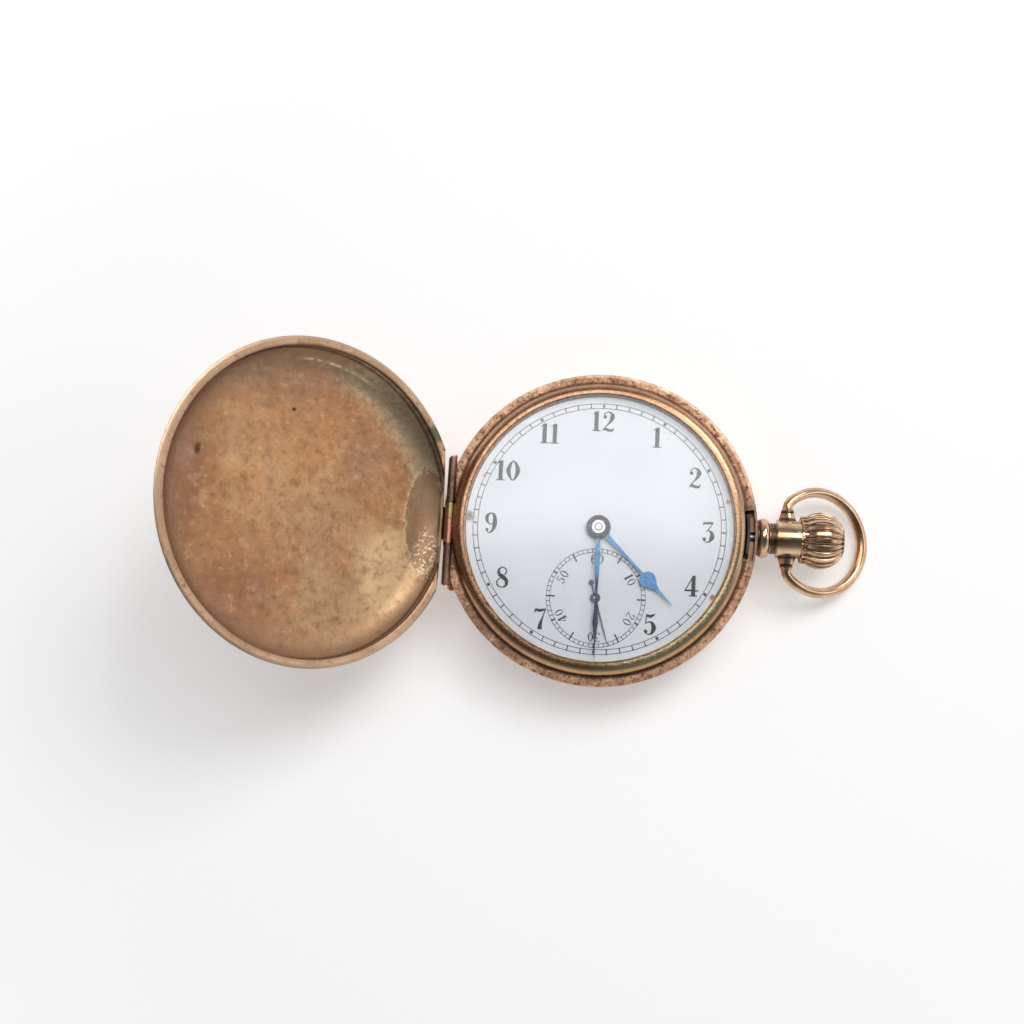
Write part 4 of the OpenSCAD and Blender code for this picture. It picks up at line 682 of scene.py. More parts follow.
def open_lid():
    """The front cover with its soft shoulder, cut off where it clears the band."""
    to_open = at(HINGE_X, HINGE_Z) @ turned(-LID_OPEN, "Y") @ at(-HINGE_X, -HINGE_Z) @ at(0, SEAT_Z)
    to_closed = to_open.inverted()
    where = to_closed @ (Vector((HINGE_X - LID_STAND_OFF, 0, HINGE_Z)) * MM)
    way = to_closed.to_3x3() @ Vector((1, 0, 0))

    def inward(r, z, a):
        """Keeps the inside clear of the flat that is cut beside the hinge, and of the bezel below it."""
        if r > LIP_IN + LIP_ROUND or math.cos(a) > HINGE_COSINE:
            return r
        flat = where.x / MM - (z - where.z / MM) * way.z / way.x + LIP_BY_HINGE
        return min(r, max(flat / math.cos(a), bezel_reach(z) + BEZEL_ROOM))

    bm = bmesh.new()
    revolve(bm, lid_profile(), LID_STEPS, False, inward)
    everything = bm.verts[:] + bm.edges[:] + bm.faces[:]
    bmesh.ops.bisect_plane(bm, geom=everything, plane_co=where, plane_no=way, clear_outer=True)
    rim = [e for e in bm.edges if e.is_boundary]
    made = bmesh.ops.holes_fill(bm, edges=rim, sides=0)
    for face in made["faces"]:
        face.material_index = LIP
    knuckle(bm)
    leaf(bm)
    lid = as_object(bm, "cover_open", satin_cover(), cover_lip(), lid_inside(), lid_hinge())
    lid.matrix_world = to_open
    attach(lid, "lid")
    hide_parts("front_cover")


def dome_glass(material):
    """The crystal, a smooth shallow dome with a flat rim."""
    profile = []
    for k in range(DOME_ROWS + 1):
        r = GLASS_EDGE_R * k / DOME_ROWS
        profile.append((r, GLASS_TOP - r * r / (2 * GLASS_BOW_R), 0))
    hollow = GLASS_TOP - GLASS_T
    for k in range(DOME_ROWS, -1, -1):
        r = GLASS_EDGE_R * k / DOME_ROWS
        profile.append((r, hollow - (hollow - GLASS_FOOT) * (k / DOME_ROWS) ** 2, 0))
    bm = bmesh.new()
    revolve(bm, profile, LID_STEPS, False)
    dome = as_object(bm, "crystal_dome", material)
    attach(dome, "case")
    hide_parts("crystal")


def bezel_reach(z):
    """Radius of the rounded bezel at a height over the seat."""
    up = min(1, max(0, (z - BEZEL_FOOT) / (BEZEL_H - BEZEL_FOOT)))
    return BEZEL_FLAT_R + (BEZEL_R - BEZEL_FLAT_R) * math.sqrt(1 - up * up) if up < 1 else 0


def broad_bezel(material):
    """The bezel, rounded from its window down to the band, with a gap for the catch."""

    def inward(r, z, a):
        away = math.degrees(abs((a + math.pi) % (2 * math.pi) - math.pi))
        return min(r, CATCH_CLEAR_R) if away < CATCH_CLEAR else r

    low, high = GLASS_GROOVE
    profile = [(WINDOW_R, BEZEL_EDGE[-1][1]), (WINDOW_R, low), (GLASS_R, low), (GLASS_R, high)]
    profile += [(WINDOW_R, high), (WINDOW_R, BEZEL_H - BEZEL_SOFT), (WINDOW_R + 0.03, BEZEL_H)]
    profile.append((BEZEL_FLAT_R, BEZEL_H))
    for k in range(1, BEZEL_ROWS + 1):
        z = BEZEL_FOOT + (BEZEL_H - BEZEL_FOOT) * math.cos(math.pi / 2 * k / BEZEL_ROWS)
        profile.append((bezel_reach(z), z))
    profile += [(BEZEL_R - back, up) for back, up in BEZEL_EDGE]
    bm = bmesh.new()
    verts = revolve(bm, [(r, z, LIP) for r, z in profile], BEZEL_STEPS, True, inward)
    bmesh.ops.translate(bm, verts=verts, vec=(0, 0, SEAT_Z * MM))
    for face in bm.faces:
        face.material_index = 0
    ring = as_object(bm, "bezel_ring", material)
    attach(ring, "case")
    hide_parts("bezel")


def boss_flares(material):
    """The cones that spread each boss of the bow over the neck."""
    bm = bmesh.new()
    for side in (-1, 1):
        verts = revolve(bm, [(r, v, 0) for r, v in BOSS_FLARE], FLARE_STEPS, True)
        bmesh.ops.transform(bm, matrix=at(BOW_X, STEM_Z) @ turned(-90 * side, "X"), verts=verts)
    flares = as_object(bm, "boss_flares", material)
    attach(flares, "case")


def bow_stations():
    """Points of the bow in its own plane, each with its direction and radius."""
    stations = [(0.0, v, 0.0, 1.0, r) for v, r in BOW_ROOT]
    last = Vector((0.0, BOW_ROOT[-1][0]))
    turn = math.radians(BOW_JOIN)
    first = Vector((BOW_MID + BOW_R * math.cos(turn), BOW_R * math.sin(turn)))
    out, back = Vector((0, 1)) * BOW_PULL, Vector((math.sin(turn), -math.cos(turn))) * BOW_PULL
    for k in range(1, BEND_ROWS):
        t = k / BEND_ROWS
        a, b = 2 * t**3 - 3 * t**2 + 1, t**3 - 2 * t**2 + t
        c, d = 3 * t**2 - 2 * t**3, t**3 - t**2
        p = last * a + out * b + first * c + back * d
        slope = last * (6 * t * t - 6 * t) + out * (3 * t * t - 4 * t + 1)
        slope += first * (6 * t - 6 * t * t) + back * (3 * t * t - 2 * t)
        slope.normalize()
        stations.append((p.x, p.y, slope.x, slope.y, BOW_ROOT[-1][1] + (BOW_SIDE_R - BOW_ROOT[-1][1]) * t))
    for k in range(ARC_ROWS + 1):
        a = turn * (1 - k / ARC_ROWS)
        r = BOW_SIDE_R + (BOW_WIRE_R - BOW_SIDE_R) * k / ARC_ROWS
        stations.append((BOW_MID + BOW_R * math.cos(a), BOW_R * math.sin(a), math.sin(a), -math.cos(a), r))
    other = [(u, -v, -du, dv, r) for u, v, du, dv, r in reversed(stations[:-1])]
    return stations + other


def bow_loop(material):
    """The bow, whose ends flare into the bosses of the neck."""
    bm = bmesh.new()
    rows = []
    for u, v, du, dv, r in bow_stations():
        row = []
        for a in turns(WIRE_STEPS):
            side, up = r * math.cos(a), r * math.sin(a)
            row.append(bm.verts.new(Vector((u - dv * side, v + du * side, up)) * MM))
        rows.append(row)
    skin(bm, rows)
    bow = as_object(bm, "bow_loop", material)
    bow.matrix_world = at(BOW_X, STEM_Z) @ turned(BOW_DROOP, "Y")
    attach(bow, "bow")
    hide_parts("bow")


# Materials


class Nodes:
    """Short ways to make and join the nodes of a tree."""

    def __init__(self, tree):
        self.tree = tree

    def node(self, kind, sockets=(), **values):
        """A node with its settings, its sockets set to values or joined."""
        n = self.tree.nodes.new(kind)
        for key, value in values.items():
            setattr(n, key, value)
        for key, value in dict(sockets).items():
            self.put(value, n.inputs[key])
        return n

    def link(self, out, socket):
        self.tree.links.new(out, socket)

    def put(self, value, socket):
        """Sets a socket to a number or colour, or links it."""
        if isinstance(value, bpy.types.NodeSocket):
            self.link(value, socket)
        else:
            socket.default_value = value

    def ramp(self, value, low, high, start=0.0, end=1.0, kind="SMOOTHSTEP"):
        """A step of value from start to end as it goes from low to high, smooth or linear."""
        ends = {"Value": value, "From Min": low, "From Max": high, "To Min": start, "To Max": end}
        return self.node("ShaderNodeMapRange", ends, interpolation_type=kind).outputs["Result"]

    def math(self, how, a, b=0.0):
        return self.node("ShaderNodeMath", {0: a, 1: b}, operation=how).outputs[0]

    def vector(self, how, *values):
        return self.node("ShaderNodeVectorMath", enumerate(values), operation=how)

    def length(self, value):
        return self.vector("LENGTH", value).outputs["Value"]

    def add(self, a, b):
        return self.math("ADD", a, b)

    def times(self, a, b):
        return self.math("MULTIPLY", a, b)

    def most(self, a, b):
        return self.math("MAXIMUM", a, b)

    def split(self, vector):
        """The x, y and z of a vector."""
        n = self.node("ShaderNodeSeparateXYZ", {0: vector})
        return n.outputs[0], n.outputs[1], n.outputs[2]

    def seen(self):
        """1 for what the camera sees, directly, in a mirror or through glass."""
        path = self.node("ShaderNodeLightPath")
        direct = self.most(path.outputs["Is Camera Ray"], path.outputs["Is Glossy Ray"])
        return self.most(direct, path.outputs["Is Transmission Ray"])


class Graph(Nodes):
    """A material's nodes. A colour is three sRGB values, as it looks under this much light."""

    def __init__(self, name, light=1.0):
        self.mat = bpy.data.materials.new(name)
        self.mat.use_nodes = True
        super().__init__(self.mat.node_tree)
        self.light = light
        self.base = None
        self.shader = self.tree.nodes["Principled BSDF"]
        self.place = self.node("ShaderNodeTexCoord").outputs["Object"]

    def tone(self, value):
        """A colour of three values as the metal's own colour; anything else as it is."""
        if isinstance(value, tuple) and len(value) == 3:
            return (*(min(v / self.light, 1.0) for v in linear(value)), 1.0)
        return value

    def noise(self, scale, detail=4, rough=0.55, stretch=None, warp=0):
        """Noise from 0 to 1, with its size per millimetre."""
        where = self.place
        if stretch:
            ways = {"Vector": where, "Scale": stretch[0], "Rotation": stretch[1]}
            where = self.node("ShaderNodeMapping", ways).outputs["Vector"]
        ways = {"Vector": where, "Scale": scale / MM, "Detail": detail, "Roughness": rough}
        ways["Distortion"] = warp
        return self.node("ShaderNodeTexNoise", ways).outputs["Fac"]

    def grain(self, scale, detail=6, warp=0):
        """Rougher noise, for small wear."""
        return self.noise(scale, detail, 0.7, warp=warp)

    def mix(self, share, a, b):
        """Colour a where share is 0 and b where it is 1."""
        sockets = {"Factor": share, 6: self.tone(a), 7: self.tone(b)}
        return self.node("ShaderNodeMix", sockets, data_type="RGBA").outputs[2]

    def tones(self, share, a, b, low=0.35, high=0.65):
        """Starts the colour: a where share is at low, b where it is at high."""
        self.base = self.mix(self.ramp(share, low, high), a, b)

    def paint(self, share, color, amount=None):
        """Lays a colour over what is there, where share is 1, and no more than amount of it."""
        part = share if amount is None else self.times(share, amount)
        self.base = self.mix(part, self.base, color)

    def stain(self, value, low, high, color, amount=None):
        """Lays a colour over what is there, more and more as value goes from low to high."""
        self.paint(self.ramp(value, low, high), color, amount)

    def bump(self, height, depth, strength):
        """A normal from a height whose full step is depth millimetres."""
        ways = {"Strength": strength, "Distance": depth * MM, "Height": height}
        return self.node("ShaderNodeBump", ways).outputs["Normal"]

    def spots(self, scale, size):
        """Small round pits: 1 in a pit and 0 between them."""
        n = self.node("ShaderNodeTexVoronoi", {"Scale": scale / MM, "Vector": self.place})
        return self.ramp(n.outputs["Distance"], size * 0.5, size, 1.0, 0.0)

    def scratches(self, scale, turn, thin=0.03):
        """Fine straight scratches in one direction: 1 on a scratch."""
        n = self.noise(scale, detail=1, rough=0.4, stretch=((0.02, 1.0, 1.0), (0.0, 0.0, turn)))
        away = self.math("ABSOLUTE", self.math("SUBTRACT", n, 0.5))
        return self.ramp(away, 0.0, thin, 1.0, 0.0)

    def away(self, low, high, soft):
        """1 where the distance in plan from the middle of the watch lies between low and high."""
        return self.between(self.offset((0, 0), (1, 1)), low, high, soft, 1)

    def offset(self, centre, size):
        """Distance in plan from centre, as a share of an ellipse's half axes, in millimetres."""
        where = (centre[0] * MM, centre[1] * MM, 0)
        axes = (1 / (size[0] * MM), 1 / (size[1] * MM), 0)
        away = self.vector("SUBTRACT", self.place, where).outputs[0]
        return self.length(self.vector("MULTIPLY", away, axes).outputs[0])

    def patch(self, centre, size, soft, ragged=None, depth=1.0):
        """A patch in plan: 1 inside it and 0 outside, its edge broken up by noise where that is given."""
        far = self.offset(centre, size)
        if ragged is not None:
            far = self.add(far, self.times(self.math("SUBTRACT", ragged, 0.5), depth))
        return self.ramp(far, 1 - soft, 1 + soft, 1.0, 0.0)

    def between(self, value, low, high, soft, unit=MM):
        """1 where value lies between low and high, in millimetres unless another unit is given."""
        up = self.ramp(value, (low - soft) * unit, (low + soft) * unit)
        return self.times(up, self.ramp(value, (high - soft) * unit, (high + soft) * unit, 1.0, 0.0))

    def surface(self, rough, normal):
        """Joins colour, roughness and normal to the shader."""
        self.put(self.base, self.shader.inputs["Base Color"])
        self.put(rough, self.shader.inputs["Roughness"])
        self.link(normal, self.shader.inputs["Normal"])
        return self.mat

    def shade(self, shader):
        """Puts another shader in place of the plain one."""
        self.link(shader.outputs[0], self.tree.nodes["Material Output"].inputs["Surface"])

    def metal(self, rough, normal):
        """The same for a metal."""
        self.shader.inputs["Metallic"].default_value = 1.0
        return self.surface(rough, normal)

    def worn(self, value, smooth, coarse, height, depth, strength):
        """Finishes a metal with a bump and a roughness that goes from smooth to coarse with value."""
        return self.metal(self.ramp(value, 0.3, 0.8, smooth, coarse), self.bump(height, depth, strength))


def linear(color):
    """An sRGB colour of 0 to 255 as a linear one."""
    out = []
    for v in color:
        v /= 255
        out.append(v / 12.92 if v <= 0.04045 else ((v + 0.055) / 1.055) ** 2.4)
    return out


def worn_band():
    """The case band: rough pinkish gold, pitted, with dark patches and a dark hinge; painted highlights on
    its outer edge at the upper right and on the hinge's ends, a painted shadow line along the bezel and
    painted shade by the catch.
    """
    g = Graph("worn_band", METAL_LIGHT)
    cloud = g.noise(0.16)
    fine = g.noise(1.1, detail=7, rough=0.75)
    grit = g.grain(3.0, 5)
    pits = g.spots(1.7, 0.28)
    g.tones(cloud, (178, 142, 114), (146, 110, 86))
    g.stain(fine, 0.49, 0.62, (112, 80, 62))
    g.stain(fine, 0.46, 0.36, (196, 164, 138), 0.7)
    g.stain(grit, 0.54, 0.66, (88, 62, 52), 0.8)
    g.paint(g.times(pits, g.ramp(fine, 0.4, 0.6)), (60, 42, 34))
    # painted highlight: a lighter outer edge of the band at the upper right
    edge = g.times(g.patch((9, 12), (22, 16), 0.5, cloud), g.away(24.55, 25.4, 0.15))
    g.paint(edge, (214, 186, 162), 0.6)
    # painted shadow: a dark ring where the band meets the bezel
    g.paint(g.times(g.away(23.0, 23.78, 0.16), g.ramp(fine, 0.25, 0.5, 0.6, 0.95)), (88, 62, 48))
    g.paint(g.patch((-24.8, 0), (2.0, 12.5), 0.2, fine), (88, 68, 62), 0.85)
    # painted shade: the band darker round the catch's recess
    g.paint(g.patch((24.4, 0), (1.5, 5.2), 0.25, fine), (92, 78, 68), 0.75)
    # painted highlights: lighter bevelled ends of the hinge's knuckles
    for side in (-1, 1):
        tip = g.patch((HINGE_X, side * 10.75), (0.9, 0.34), 0.3, fine, 0.5)
        g.paint(tip, (210, 168, 146))
    top = g.ramp(g.split(g.place)[2], 8.7 * MM, 9.4 * MM, 0.3, 1.0)
    side = g.mix(g.ramp(cloud, 0.35, 0.65), (190, 148, 118), (168, 126, 96))
    side = g.mix(g.times(g.scratches(0.8, 0.0), 0.3), side, (214, 176, 146))
    g.base = g.mix(top, side, g.base)
    rough = g.ramp(fine, 0.3, 0.75, 0.34, 0.6)
    height = g.add(g.times(pits, -0.7), g.add(fine, g.times(grit, 0.4)))
    return g.metal(rough, g.bump(g.times(height, top), 0.09, 0.7))


def satin_bezel():
    """The bezel: smooth copper gold, brassy by the catch, with a painted brassy highlight at its lower
    right, brightest along its window, and a painted shadow line at its foot.
    """
    g = Graph("satin_bezel", METAL_LIGHT)
    cloud = g.noise(0.1)
    fine = g.grain(1.6)
    g.tones(cloud, (160, 124, 98), (140, 104, 80))
    # painted highlight: a brassy patch at the lower right
    g.paint(g.patch((9, -20), (15, 9), 0.5, cloud), (156, 128, 92), 0.8)
    g.paint(g.patch((23, 2), (5, 12), 0.5, cloud), (150, 124, 98), 0.8)
    g.stain(fine, 0.54, 0.74, (104, 72, 52), 0.6)
    g.stain(fine, 0.46, 0.32, (182, 146, 116), 0.35)
    # painted shadow: a dark ring at the foot of the bezel
    g.paint(g.away(23.22, 23.6, 0.12), (84, 58, 42), 0.6)
    # painted highlight: a bright band along the window at the lower right
    rim = g.times(g.away(21.4, 22.35, 0.2), g.patch((13, -16), (13, 11), 0.4, cloud))
    g.paint(rim, (232, 206, 166), 0.85)
    line = g.most(g.scratches(1.2, 0.2), g.scratches(0.9, 1.3))
    g.paint(line, (196, 162, 130), 0.12)
    height = g.add(g.times(fine, 0.5), g.times(line, -0.5))
    return g.worn(fine, 0.2, 0.36, height, 0.014, 0.4)


def polish(g, dark, shine=0.12):
    """Polished rose gold that is painted dark and rougher where dark is 1: tarnish and painted shade in its
    hollows.
    """
    cloud = g.noise(0.25)
    fine = g.grain(2.5, 5)
    g.tones(cloud, (222, 188, 158), (196, 158, 124))
    g.stain(fine, 0.58, 0.76, (128, 92, 70), 0.6)
    # tarnish and painted shade in the hollows
    g.paint(dark, (74, 52, 42))
    rough = g.add(g.ramp(fine, 0.35, 0.8, shine, shine + 0.14), g.times(dark, 0.22))
    height = g.add(g.times(fine, 0.5), g.times(g.scratches(1.5, 0.8), -0.6))
    return g.metal(rough, g.bump(height, 0.01, 0.5))


def neck_gold():
    """The neck: polished, with tarnish and painted shade in the groove behind its bead and round its
    bosses.
    """
    g = Graph("neck_gold")
    fine = g.grain(1.8, 5)
    x = g.split(g.place)[0]
    # tarnish and painted shade in the groove behind the bead and round the bosses
    dark = g.most(g.between(x, 27.05, 28.15, 0.2), g.between(x, 24.0, 25.5, 0.25))
    for side in (-1, 1):
        dark = g.most(dark, g.patch((BOW_X, side * 3.0), (2.3, 0.3), 0.5, fine))
        dark = g.most(dark, g.patch((BOW_X, side * 4.2), (1.8, 0.16), 0.5, fine))
    return polish(g, g.times(dark, g.ramp(fine, 0.25, 0.5, 0.45, 0.95)))


def crown_gold():
    """The crown: polished on its ribs, with painted shade and tarnish in its flutes."""
    g = Graph("crown_gold")
    y, z = g.split(g.place)[1:]
    # painted shade and tarnish in the flutes
    turn = g.math("ARCTAN2", g.math("SUBTRACT", z, STEM_Z * MM), y)
    wave = g.math("COSINE", g.times(turn, float(CROWN_FLUTES)))
    fine = g.grain(1.5, 5)
    return polish(g, g.times(g.ramp(wave, 0.2, 0.95), g.ramp(fine, 0.3, 0.6, 0.5, 0.95)), 0.16)


def bow_gold():
    """The bow: polished, with painted shade and tarnish where it enters the bosses."""
    g = Graph("bow_gold")
    fine = g.grain(1.5, 5)
    # painted shade and tarnish where the bow enters the bosses
    dark = g.patch((0, 4.25), (1.7, 0.34), 0.4, fine)
    dark = g.most(dark, g.patch((0, -4.25), (1.7, 0.34), 0.4, fine))
    return polish(g, g.times(dark, 0.8), 0.14)


def satin_cover():
    """The outside of a cover: worn satin rose gold with fine scratches and small dents."""
    g = Graph("satin_cover", LID_LIGHT)
    cloud = g.noise(0.08)
    fine = g.grain(1.4)
    g.tones(cloud, (186, 138, 106), (170, 120, 84))
    g.stain(fine, 0.58, 0.78, (124, 82, 58), 0.6)
    line = g.most(g.scratches(0.7, 0.7), g.scratches(0.6, -0.5))
    g.paint(line, (216, 176, 140), 0.25)
    height = g.add(g.times(g.noise(0.2, detail=2), 2.0), g.add(fine, g.times(line, -0.6)))
    return g.worn(fine, 0.24, 0.42, height, 0.025, 0.5)


def cover_lip():
    """The flat lip of the cover: satin pinkish tan, with a painted highlight along its outer edge and a
    painted shadow line along its inner edge.
    """
    g = Graph("cover_lip", LID_LIGHT)
    fine = g.grain(1.0)
    g.tones(g.noise(0.12, detail=3), (184, 150, 124), (166, 132, 104))
    g.stain(fine, 0.52, 0.7, (100, 76, 60), 0.7)
    # painted highlight: a lighter ring along the outer edge
    g.paint(g.away(24.5, 25.2, 0.12), (190, 164, 138), 0.7)
    # painted shadow: a dark ring along the inner edge
    g.paint(g.away(23.4, 23.72, 0.05), (100, 74, 56), 0.6)
    green = g.patch((-20.5, 13.6), (1.9, 1.2), 0.4, fine)
    g.paint(green, (72, 78, 60), 0.8)
    return g.worn(fine, 0.3, 0.5, fine, 0.02, 0.5)


def lid_inside():
    """The inside of the cover: mottled patina, tarnished green and brown towards the hinge, with painted
    shade towards the rim and a painted shadow line under the lip.
    """
    g = Graph("cover_patina", LID_LIGHT)
    big = g.noise(0.09, rough=0.5, warp=0.4)
    middle = g.noise(0.34, detail=6, rough=0.65, warp=0.3)
    small = g.grain(0.9, warp=0.2)
    fine = g.noise(2.6, detail=6, rough=0.75)
    g.tones(big, (180, 138, 98), (164, 120, 86))
    for centre, size, soft, ragged, look, share in LID_PATCHES:
        g.paint(g.times(g.patch(centre, size, soft, big, ragged), share), look)
    warm = g.noise(0.22, detail=5, rough=0.6, warp=0.5)
    g.stain(warm, 0.5, 0.7, (188, 126, 82), 0.32)
    g.stain(warm, 0.48, 0.3, (170, 132, 114), 0.4)
    g.stain(middle, 0.48, 0.68, (138, 98, 70), 0.55)
    g.stain(middle, 0.46, 0.3, (196, 158, 120), 0.5)
    g.stain(small, 0.52, 0.7, (128, 90, 64), 0.5)
    g.stain(small, 0.44, 0.3, (204, 170, 132), 0.45)
    # painted shade: darker towards the rim, where the shoulder curves
    far = g.add(g.offset((0, 0), (LID_R, LID_R)), g.times(g.math("SUBTRACT", middle, 0.5), 0.12))
    g.stain(far, 0.72, 0.92, (150, 118, 94), 0.65)
    green = g.times(g.patch((-16, 14), (14, 12), 0.3, middle, 0.5), g.ramp(far, 0.7, 0.86))
    tarnish = g.mix(g.ramp(small, 0.4, 0.6), (182, 162, 134), (154, 136, 110))
    g.paint(green, tarnish, 0.9)
    ragged = g.add(g.times(middle, 0.6), g.times(fine, 0.4))
    brown = g.patch((-20.6, 0), (2.8, 8.2), 0.06, ragged, 1.1)
    rind = g.times(g.patch((-20.6, 0), (3.2, 8.8), 0.08, ragged, 1.1), g.ramp(fine, 0.44, 0.52))
    g.paint(rind, (206, 184, 150), 0.8)
    g.paint(brown, g.mix(small, (150, 120, 94), (134, 104, 80)), 0.92)
    specks = g.ramp(g.noise(2.2, detail=5), 0.54, 0.58)
    specks = g.times(specks, g.patch((-21.4, -5.6), (1.7, 3.9), 0.4, fine))
    g.paint(specks, (214, 194, 166), 0.85)
    streak = g.times(g.away(21.9, 22.3, 0.1), g.patch((-4, 21.6), (6.5, 3.0), 0.4, middle))
    g.paint(g.times(streak, g.ramp(small, 0.42, 0.6, 0.0, 0.9)), (222, 208, 168))
    g.stain(fine, 0.56, 0.72, (100, 70, 50), 0.55)
    pit = g.most(g.patch((3.1, 14.0), (0.32, 0.24), 0.3), g.patch((17.8, 5.6), (0.45, 0.75), 0.6))
    g.paint(pit, (74, 46, 32), 0.85)
    # painted shadow: a dark ring under the inner edge of the lip
    g.paint(g.away(23.4, 23.7, 0.08), (78, 54, 40), 0.6)
    height = g.add(small, g.add(g.times(middle, 1.5), g.times(pit, -4.0)))
    height = g.add(height, g.times(fine, 0.5))
    return g.worn(small, 0.42, 0.6, height, 0.04, 0.5)


def lid_hinge():
    """The middle knuckle: greenish gold above its groove, pinkish copper below, a gold tab, a dark leaf."""
    g = Graph("cover_hinge", METAL_LIGHT)
    x, y, z = g.split(g.place)
    fine = g.grain(1.6)
    low, high = (KNUCKLE_SPLIT - 0.05) * MM, (KNUCKLE_SPLIT + 0.05) * MM
    g.tones(y, (166, 118, 98), (142, 128, 84), low, high)
    tab = g.times(g.between(y, *TAB_Y, 0.06), g.between(x, HINGE_X - 0.8, HINGE_X - 0.3, 0.04))
    g.paint(tab, (214, 184, 134), 0.8)
    g.stain(z, 0.85 * MM, 1.0 * MM, (78, 58, 54))
    g.stain(fine, 0.55, 0.72, (86, 62, 52))
    return g.worn(fine, 0.26, 0.48, fine, 0.03, 0.6)


def dust_gold():
    """The inside and the dust cover: yellower gold with light tarnish."""
    g = Graph("dust_gold", METAL_LIGHT)
    big = g.noise(0.1, warp=0.4)
    fine = g.grain(1.6)
    g.tones(big, (190, 148, 100), (168, 124, 80))
    g.stain(fine, 0.58, 0.78, (118, 82, 54), 0.6)
    line = g.scratches(0.7, 0.9)
    g.paint(line, (222, 186, 140), 0.25)
    height = g.add(fine, g.times(line, -0.5))
    return g.worn(fine, 0.26, 0.44, height, 0.02, 0.5)


def enamel():
    """The dial: cool white enamel with faint clouds and a few stained chips at its edge."""
    g = Graph("dial_enamel")
    cloud = g.noise(0.12, detail=3)
    fine = g.noise(3.0)
    g.tones(cloud, (213, 216, 222), (206, 210, 216), 0.3, 0.7)
    g.stain(fine, 0.7, 0.85, (196, 199, 204))
    for centre, size, look in DIAL_STAINS:
        near = g.times(g.patch(centre, (size, size), 0.5, fine), g.ramp(fine, 0.35, 0.5))
        g.paint(near, look)
    g.shader.inputs["Coat Weight"].default_value = 0.3
    g.shader.inputs["Coat Roughness"].default_value = 0.08
    return g.surface(g.ramp(cloud, 0.3, 0.7, 0.17, 0.22), g.bump(g.noise(0.2, detail=2), 0.01, 0.3))


def ink():
    """The fired ink of the dial."""
    g = Graph("dial_ink")
    fine = g.grain(4.0, 5)
    g.tones(fine, (26, 26, 32), (58, 58, 66), 0.4, 0.75)
    return g.surface(g.ramp(fine, 0.3, 0.8, 0.3, 0.5), g.bump(fine, 0.004, 0.4))


def glass():
    """The crystal: clear glass with a few hair scratches."""
    g = Graph("crystal_glass")
    fine = g.noise(0.9, detail=3)
    line = g.times(g.scratches(0.5, 0.9, 0.012), g.ramp(fine, 0.5, 0.6))
    g.base = (1.0, 1.0, 1.0, 1.0)
    g.shader.inputs["Transmission Weight"].default_value = 1.0
    g.shader.inputs["IOR"].default_value = 1.5
    g.surface(g.ramp(line, 0.0, 1.0, 0.13, 0.2), g.bump(line, 0.001, 0.2))
    shadow = g.node("ShaderNodeLightPath").outputs["Is Shadow Ray"]
    clear = g.node("ShaderNodeBsdfTransparent").outputs[0]
    g.shade(g.node("ShaderNodeMixShader", {0: shadow, 1: g.shader.outputs[0], 2: clear}))
    return g.mat


def blued(name, light, dark, split=None):
    """Blued steel with a dark hub; below split along Y it is painted dark violet, a painted shade."""
    g = Graph(name)
    cloud = g.noise(0.5)
    fine = g.noise(5.0)
    g.tones(cloud, light, dark)
    # painted shade: darker below split along Y
    if split is not None:
        y = g.split(g.place)[1]
        g.paint(g.ramp(y, (split - 1.5) * MM, (split + 1.5) * MM, 1.0, 0.0), (66, 66, 84))
    g.paint(g.patch((0, 0), (HUB_R, HUB_R), 0.04), (58, 58, 62))
    g.paint(g.scratches(2.5, 1.5), (150, 180, 215), 0.25)
    return g.worn(fine, 0.2, 0.36, fine, 0.004, 0.4)


def cannon_steel():
    """The centre arbor and the cannon pinion: bright, with a dark ring where one meets the other."""
    g = Graph("cannon_steel")
    fine = g.grain(3.0, 5)
    g.tones(fine, (226, 226, 230), (196, 196, 202), 0.35, 0.75)
    g.paint(g.away(0.48, 0.64, 0.04), (60, 60, 64))
    g.paint(g.away(1.04, 1.2, 0.04), (90, 90, 94))
    return g.worn(fine, 0.24, 0.4, fine, 0.006, 0.4)


def plain_metal(name, light, dark, deep, rough_low, rough_high):
    """A worked metal: two tones, fine lines of the tool and dark specks."""
    g = Graph(name)
    cloud = g.noise(0.3)
    fine = g.noise(3.0, detail=5, rough=0.65)
    g.tones(cloud, light, dark)
    g.stain(fine, 0.66, 0.82, deep)
    line = g.scratches(1.2, 0.3)
    g.paint(line, light, 0.2)
    height = g.add(fine, g.times(line, -0.6))
    return g.worn(fine, rough_low, rough_high, height, 0.008, 0.5)


def ruby():
    """The jewels: clear red stone."""
    g = Graph("ruby")
    fine = g.noise(6.0)
    g.tones(fine, (196, 20, 64), (150, 10, 44), 0.35, 0.7)
    g.shader.inputs["Transmission Weight"].default_value = 0.35
    g.shader.inputs["IOR"].default_value = 1.76
    return g.surface(g.ramp(fine, 0.3, 0.8, 0.05, 0.14), g.bump(fine, 0.002, 0.3))


def dress(materials):
    """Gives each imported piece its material."""
    looks = {name: mat for mat, names in materials for name in names}
    for name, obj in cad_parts.items():
        for slot in obj.material_slots:
            slot.material = looks[name]


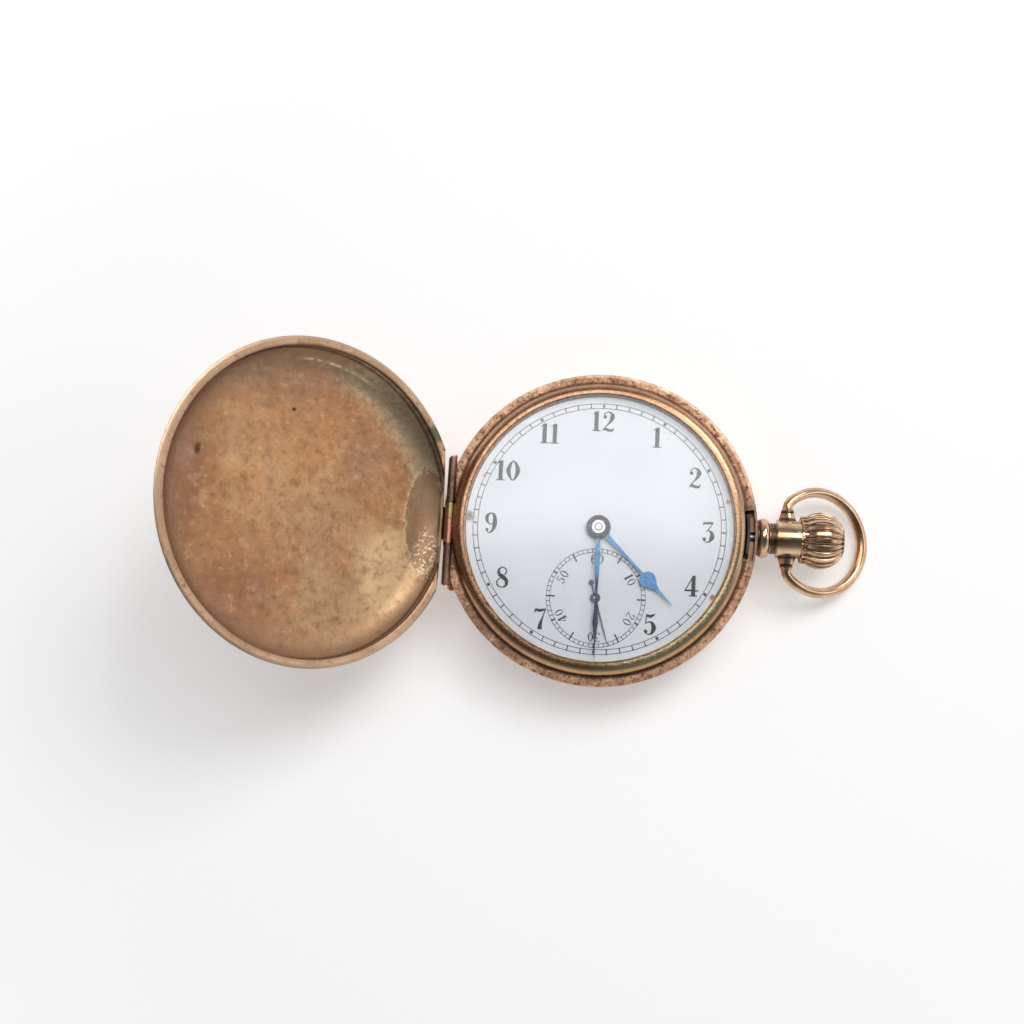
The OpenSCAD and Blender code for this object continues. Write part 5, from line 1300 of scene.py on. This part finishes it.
def dress_all():
    """Chooses the material of every piece."""
    steel = plain_metal("steel", (200, 200, 204), (176, 177, 182), (110, 108, 108), 0.2, 0.34)
    spring = plain_metal("spring_steel", (112, 110, 112), (88, 86, 90), (54, 50, 50), 0.3, 0.46)
    gilt = plain_metal("gilt_brass", (222, 184, 108), (204, 162, 86), (140, 100, 50), 0.3, 0.46)
    brass = plain_metal("wheel_brass", (226, 190, 116), (208, 168, 92), (146, 108, 56), 0.2, 0.34)
    screws = blued("blued_screws", (60, 96, 170), (72, 72, 140))
    bezel_gold = satin_bezel()
    wire_gold = bow_gold()
    neck = neck_gold()
    clear = glass()
    dark_steel = plain_metal("dark_steel", (84, 80, 78), (66, 62, 60), (40, 36, 34), 0.45, 0.6)
    patina = satin_cover()
    dress(
        [
            (worn_band(), ("case_band",)),
            (bezel_gold, ("bezel",)),
            (neck, ("pendant",)),
            (crown_gold(), ("crown",)),
            (wire_gold, ("bow",)),
            (patina, ("front_cover", "back_cover")),
            (dust_gold(), ("cuvette",)),
            (clear, ("crystal",)),
            (enamel(), ("dial",)),
            (blued("blued_hour", (92, 140, 180), (84, 124, 166)), ("hour_hand",)),
            (blued("blued_minute", (88, 134, 172), (76, 108, 150), MINUTE_PAINTED_SHADE_Y), ("minute_hand",)),
            (blued("blued_seconds", (96, 98, 116), (80, 80, 100)), ("seconds_hand",)),
            (screws, ("bridge_screws", "case_screws", "ratchet_screw", "crown_wheel_screw")),
            (steel, STEEL),
            (spring, SPRINGS),
            (dark_steel, ("lock_spring", "case_spring_screws", "pendant_sleeve")),
            (cannon_steel(), ("cannon_pinion", "centre_pinion")),
            (gilt, ("main_plate", "barrel_bridge", "train_bridge", "balance_cock")),
            (brass, WHEELS),
            (ruby(), ("train_jewels", "balance_jewels")),
        ]
    )
    open_lid()
    broad_bezel(bezel_gold)
    boss_flares(neck)
    dome_glass(clear)
    bow_loop(wire_gold)


# The room


def stage_floor():
    """A white floor that keeps the object's shadow."""
    bm = bmesh.new()
    bmesh.ops.create_grid(bm, x_segments=8, y_segments=8, size=FLOOR_SIZE)
    floor = mesh_object(bm, "floor")
    floor.location.z = cad_box[0].z - FLOOR_BELOW
    g = Graph("floor_paper")
    near, reach = (v * MM for v in FLOOR_REACH)
    white = g.times(g.seen(), g.ramp(g.length(g.place), near, reach, *FLOOR_GLOW))
    glow = g.node("ShaderNodeEmission", {"Strength": white})
    g.shader.inputs["Base Color"].default_value = (0.94, 0.94, 0.94, 1.0)
    g.shader.inputs["Roughness"].default_value = 0.9
    g.shade(g.node("ShaderNodeAddShader", {0: g.shader.outputs[0], 1: glow.outputs[0]}))
    floor.data.materials.append(g.mat)


def lamp(name, place, turn, size, watts):
    """A soft square lamp."""
    data = bpy.data.lights.new(name, "AREA")
    data.shape = "RECTANGLE"
    data.size = size[0] * MM
    data.size_y = size[1] * MM
    data.energy = watts
    obj = add_object(name, data)
    obj.location = Vector(place) * MM
    obj.rotation_euler = [math.radians(v) for v in turn]


def light_room():
    """A pale room, darker overhead, a soft box above the dial and one at the upper right."""
    world = bpy.data.worlds.new("room")
    world.use_nodes = True
    bpy.context.scene.world = world
    g = Nodes(world.node_tree)
    back = g.tree.nodes["Background"]
    back.inputs["Color"].default_value = (0.96, 0.98, 1.0, 1.0)
    z = g.split(g.node("ShaderNodeTexCoord").outputs["Generated"])[2]
    fall = g.ramp(z, 0.0, ROOM_REACH, ROOM_WALLS, ROOM_TOP, "LINEAR")
    wall = g.ramp(z, *HORIZON, 1 - ROOM_WALLS, 0.0, "LINEAR")
    g.link(g.add(g.times(g.seen(), wall), fall), back.inputs["Strength"])
    for values in LAMPS:
        lamp(*values)


def add_camera():
    """The camera of the photograph."""
    data = bpy.data.cameras.new("camera")
    data.sensor_width = CAMERA_SENSOR
    data.lens = CAMERA_LENS
    data.clip_start = 0.01
    data.clip_end = 20
    obj = add_object("camera", data)
    obj.location = Vector(CAMERA_PLACE) * MM
    obj.rotation_euler = CAMERA_TURN
    bpy.context.scene.camera = obj


add_camera()
dress_all()
fired = ink()
for piece in (minute_print(), hour_print(), seconds_print()):
    piece.data.materials.append(fired)
    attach(piece, "case")
stage_floor()
light_room()
bpy.context.scene.view_settings.view_transform = "Standard"
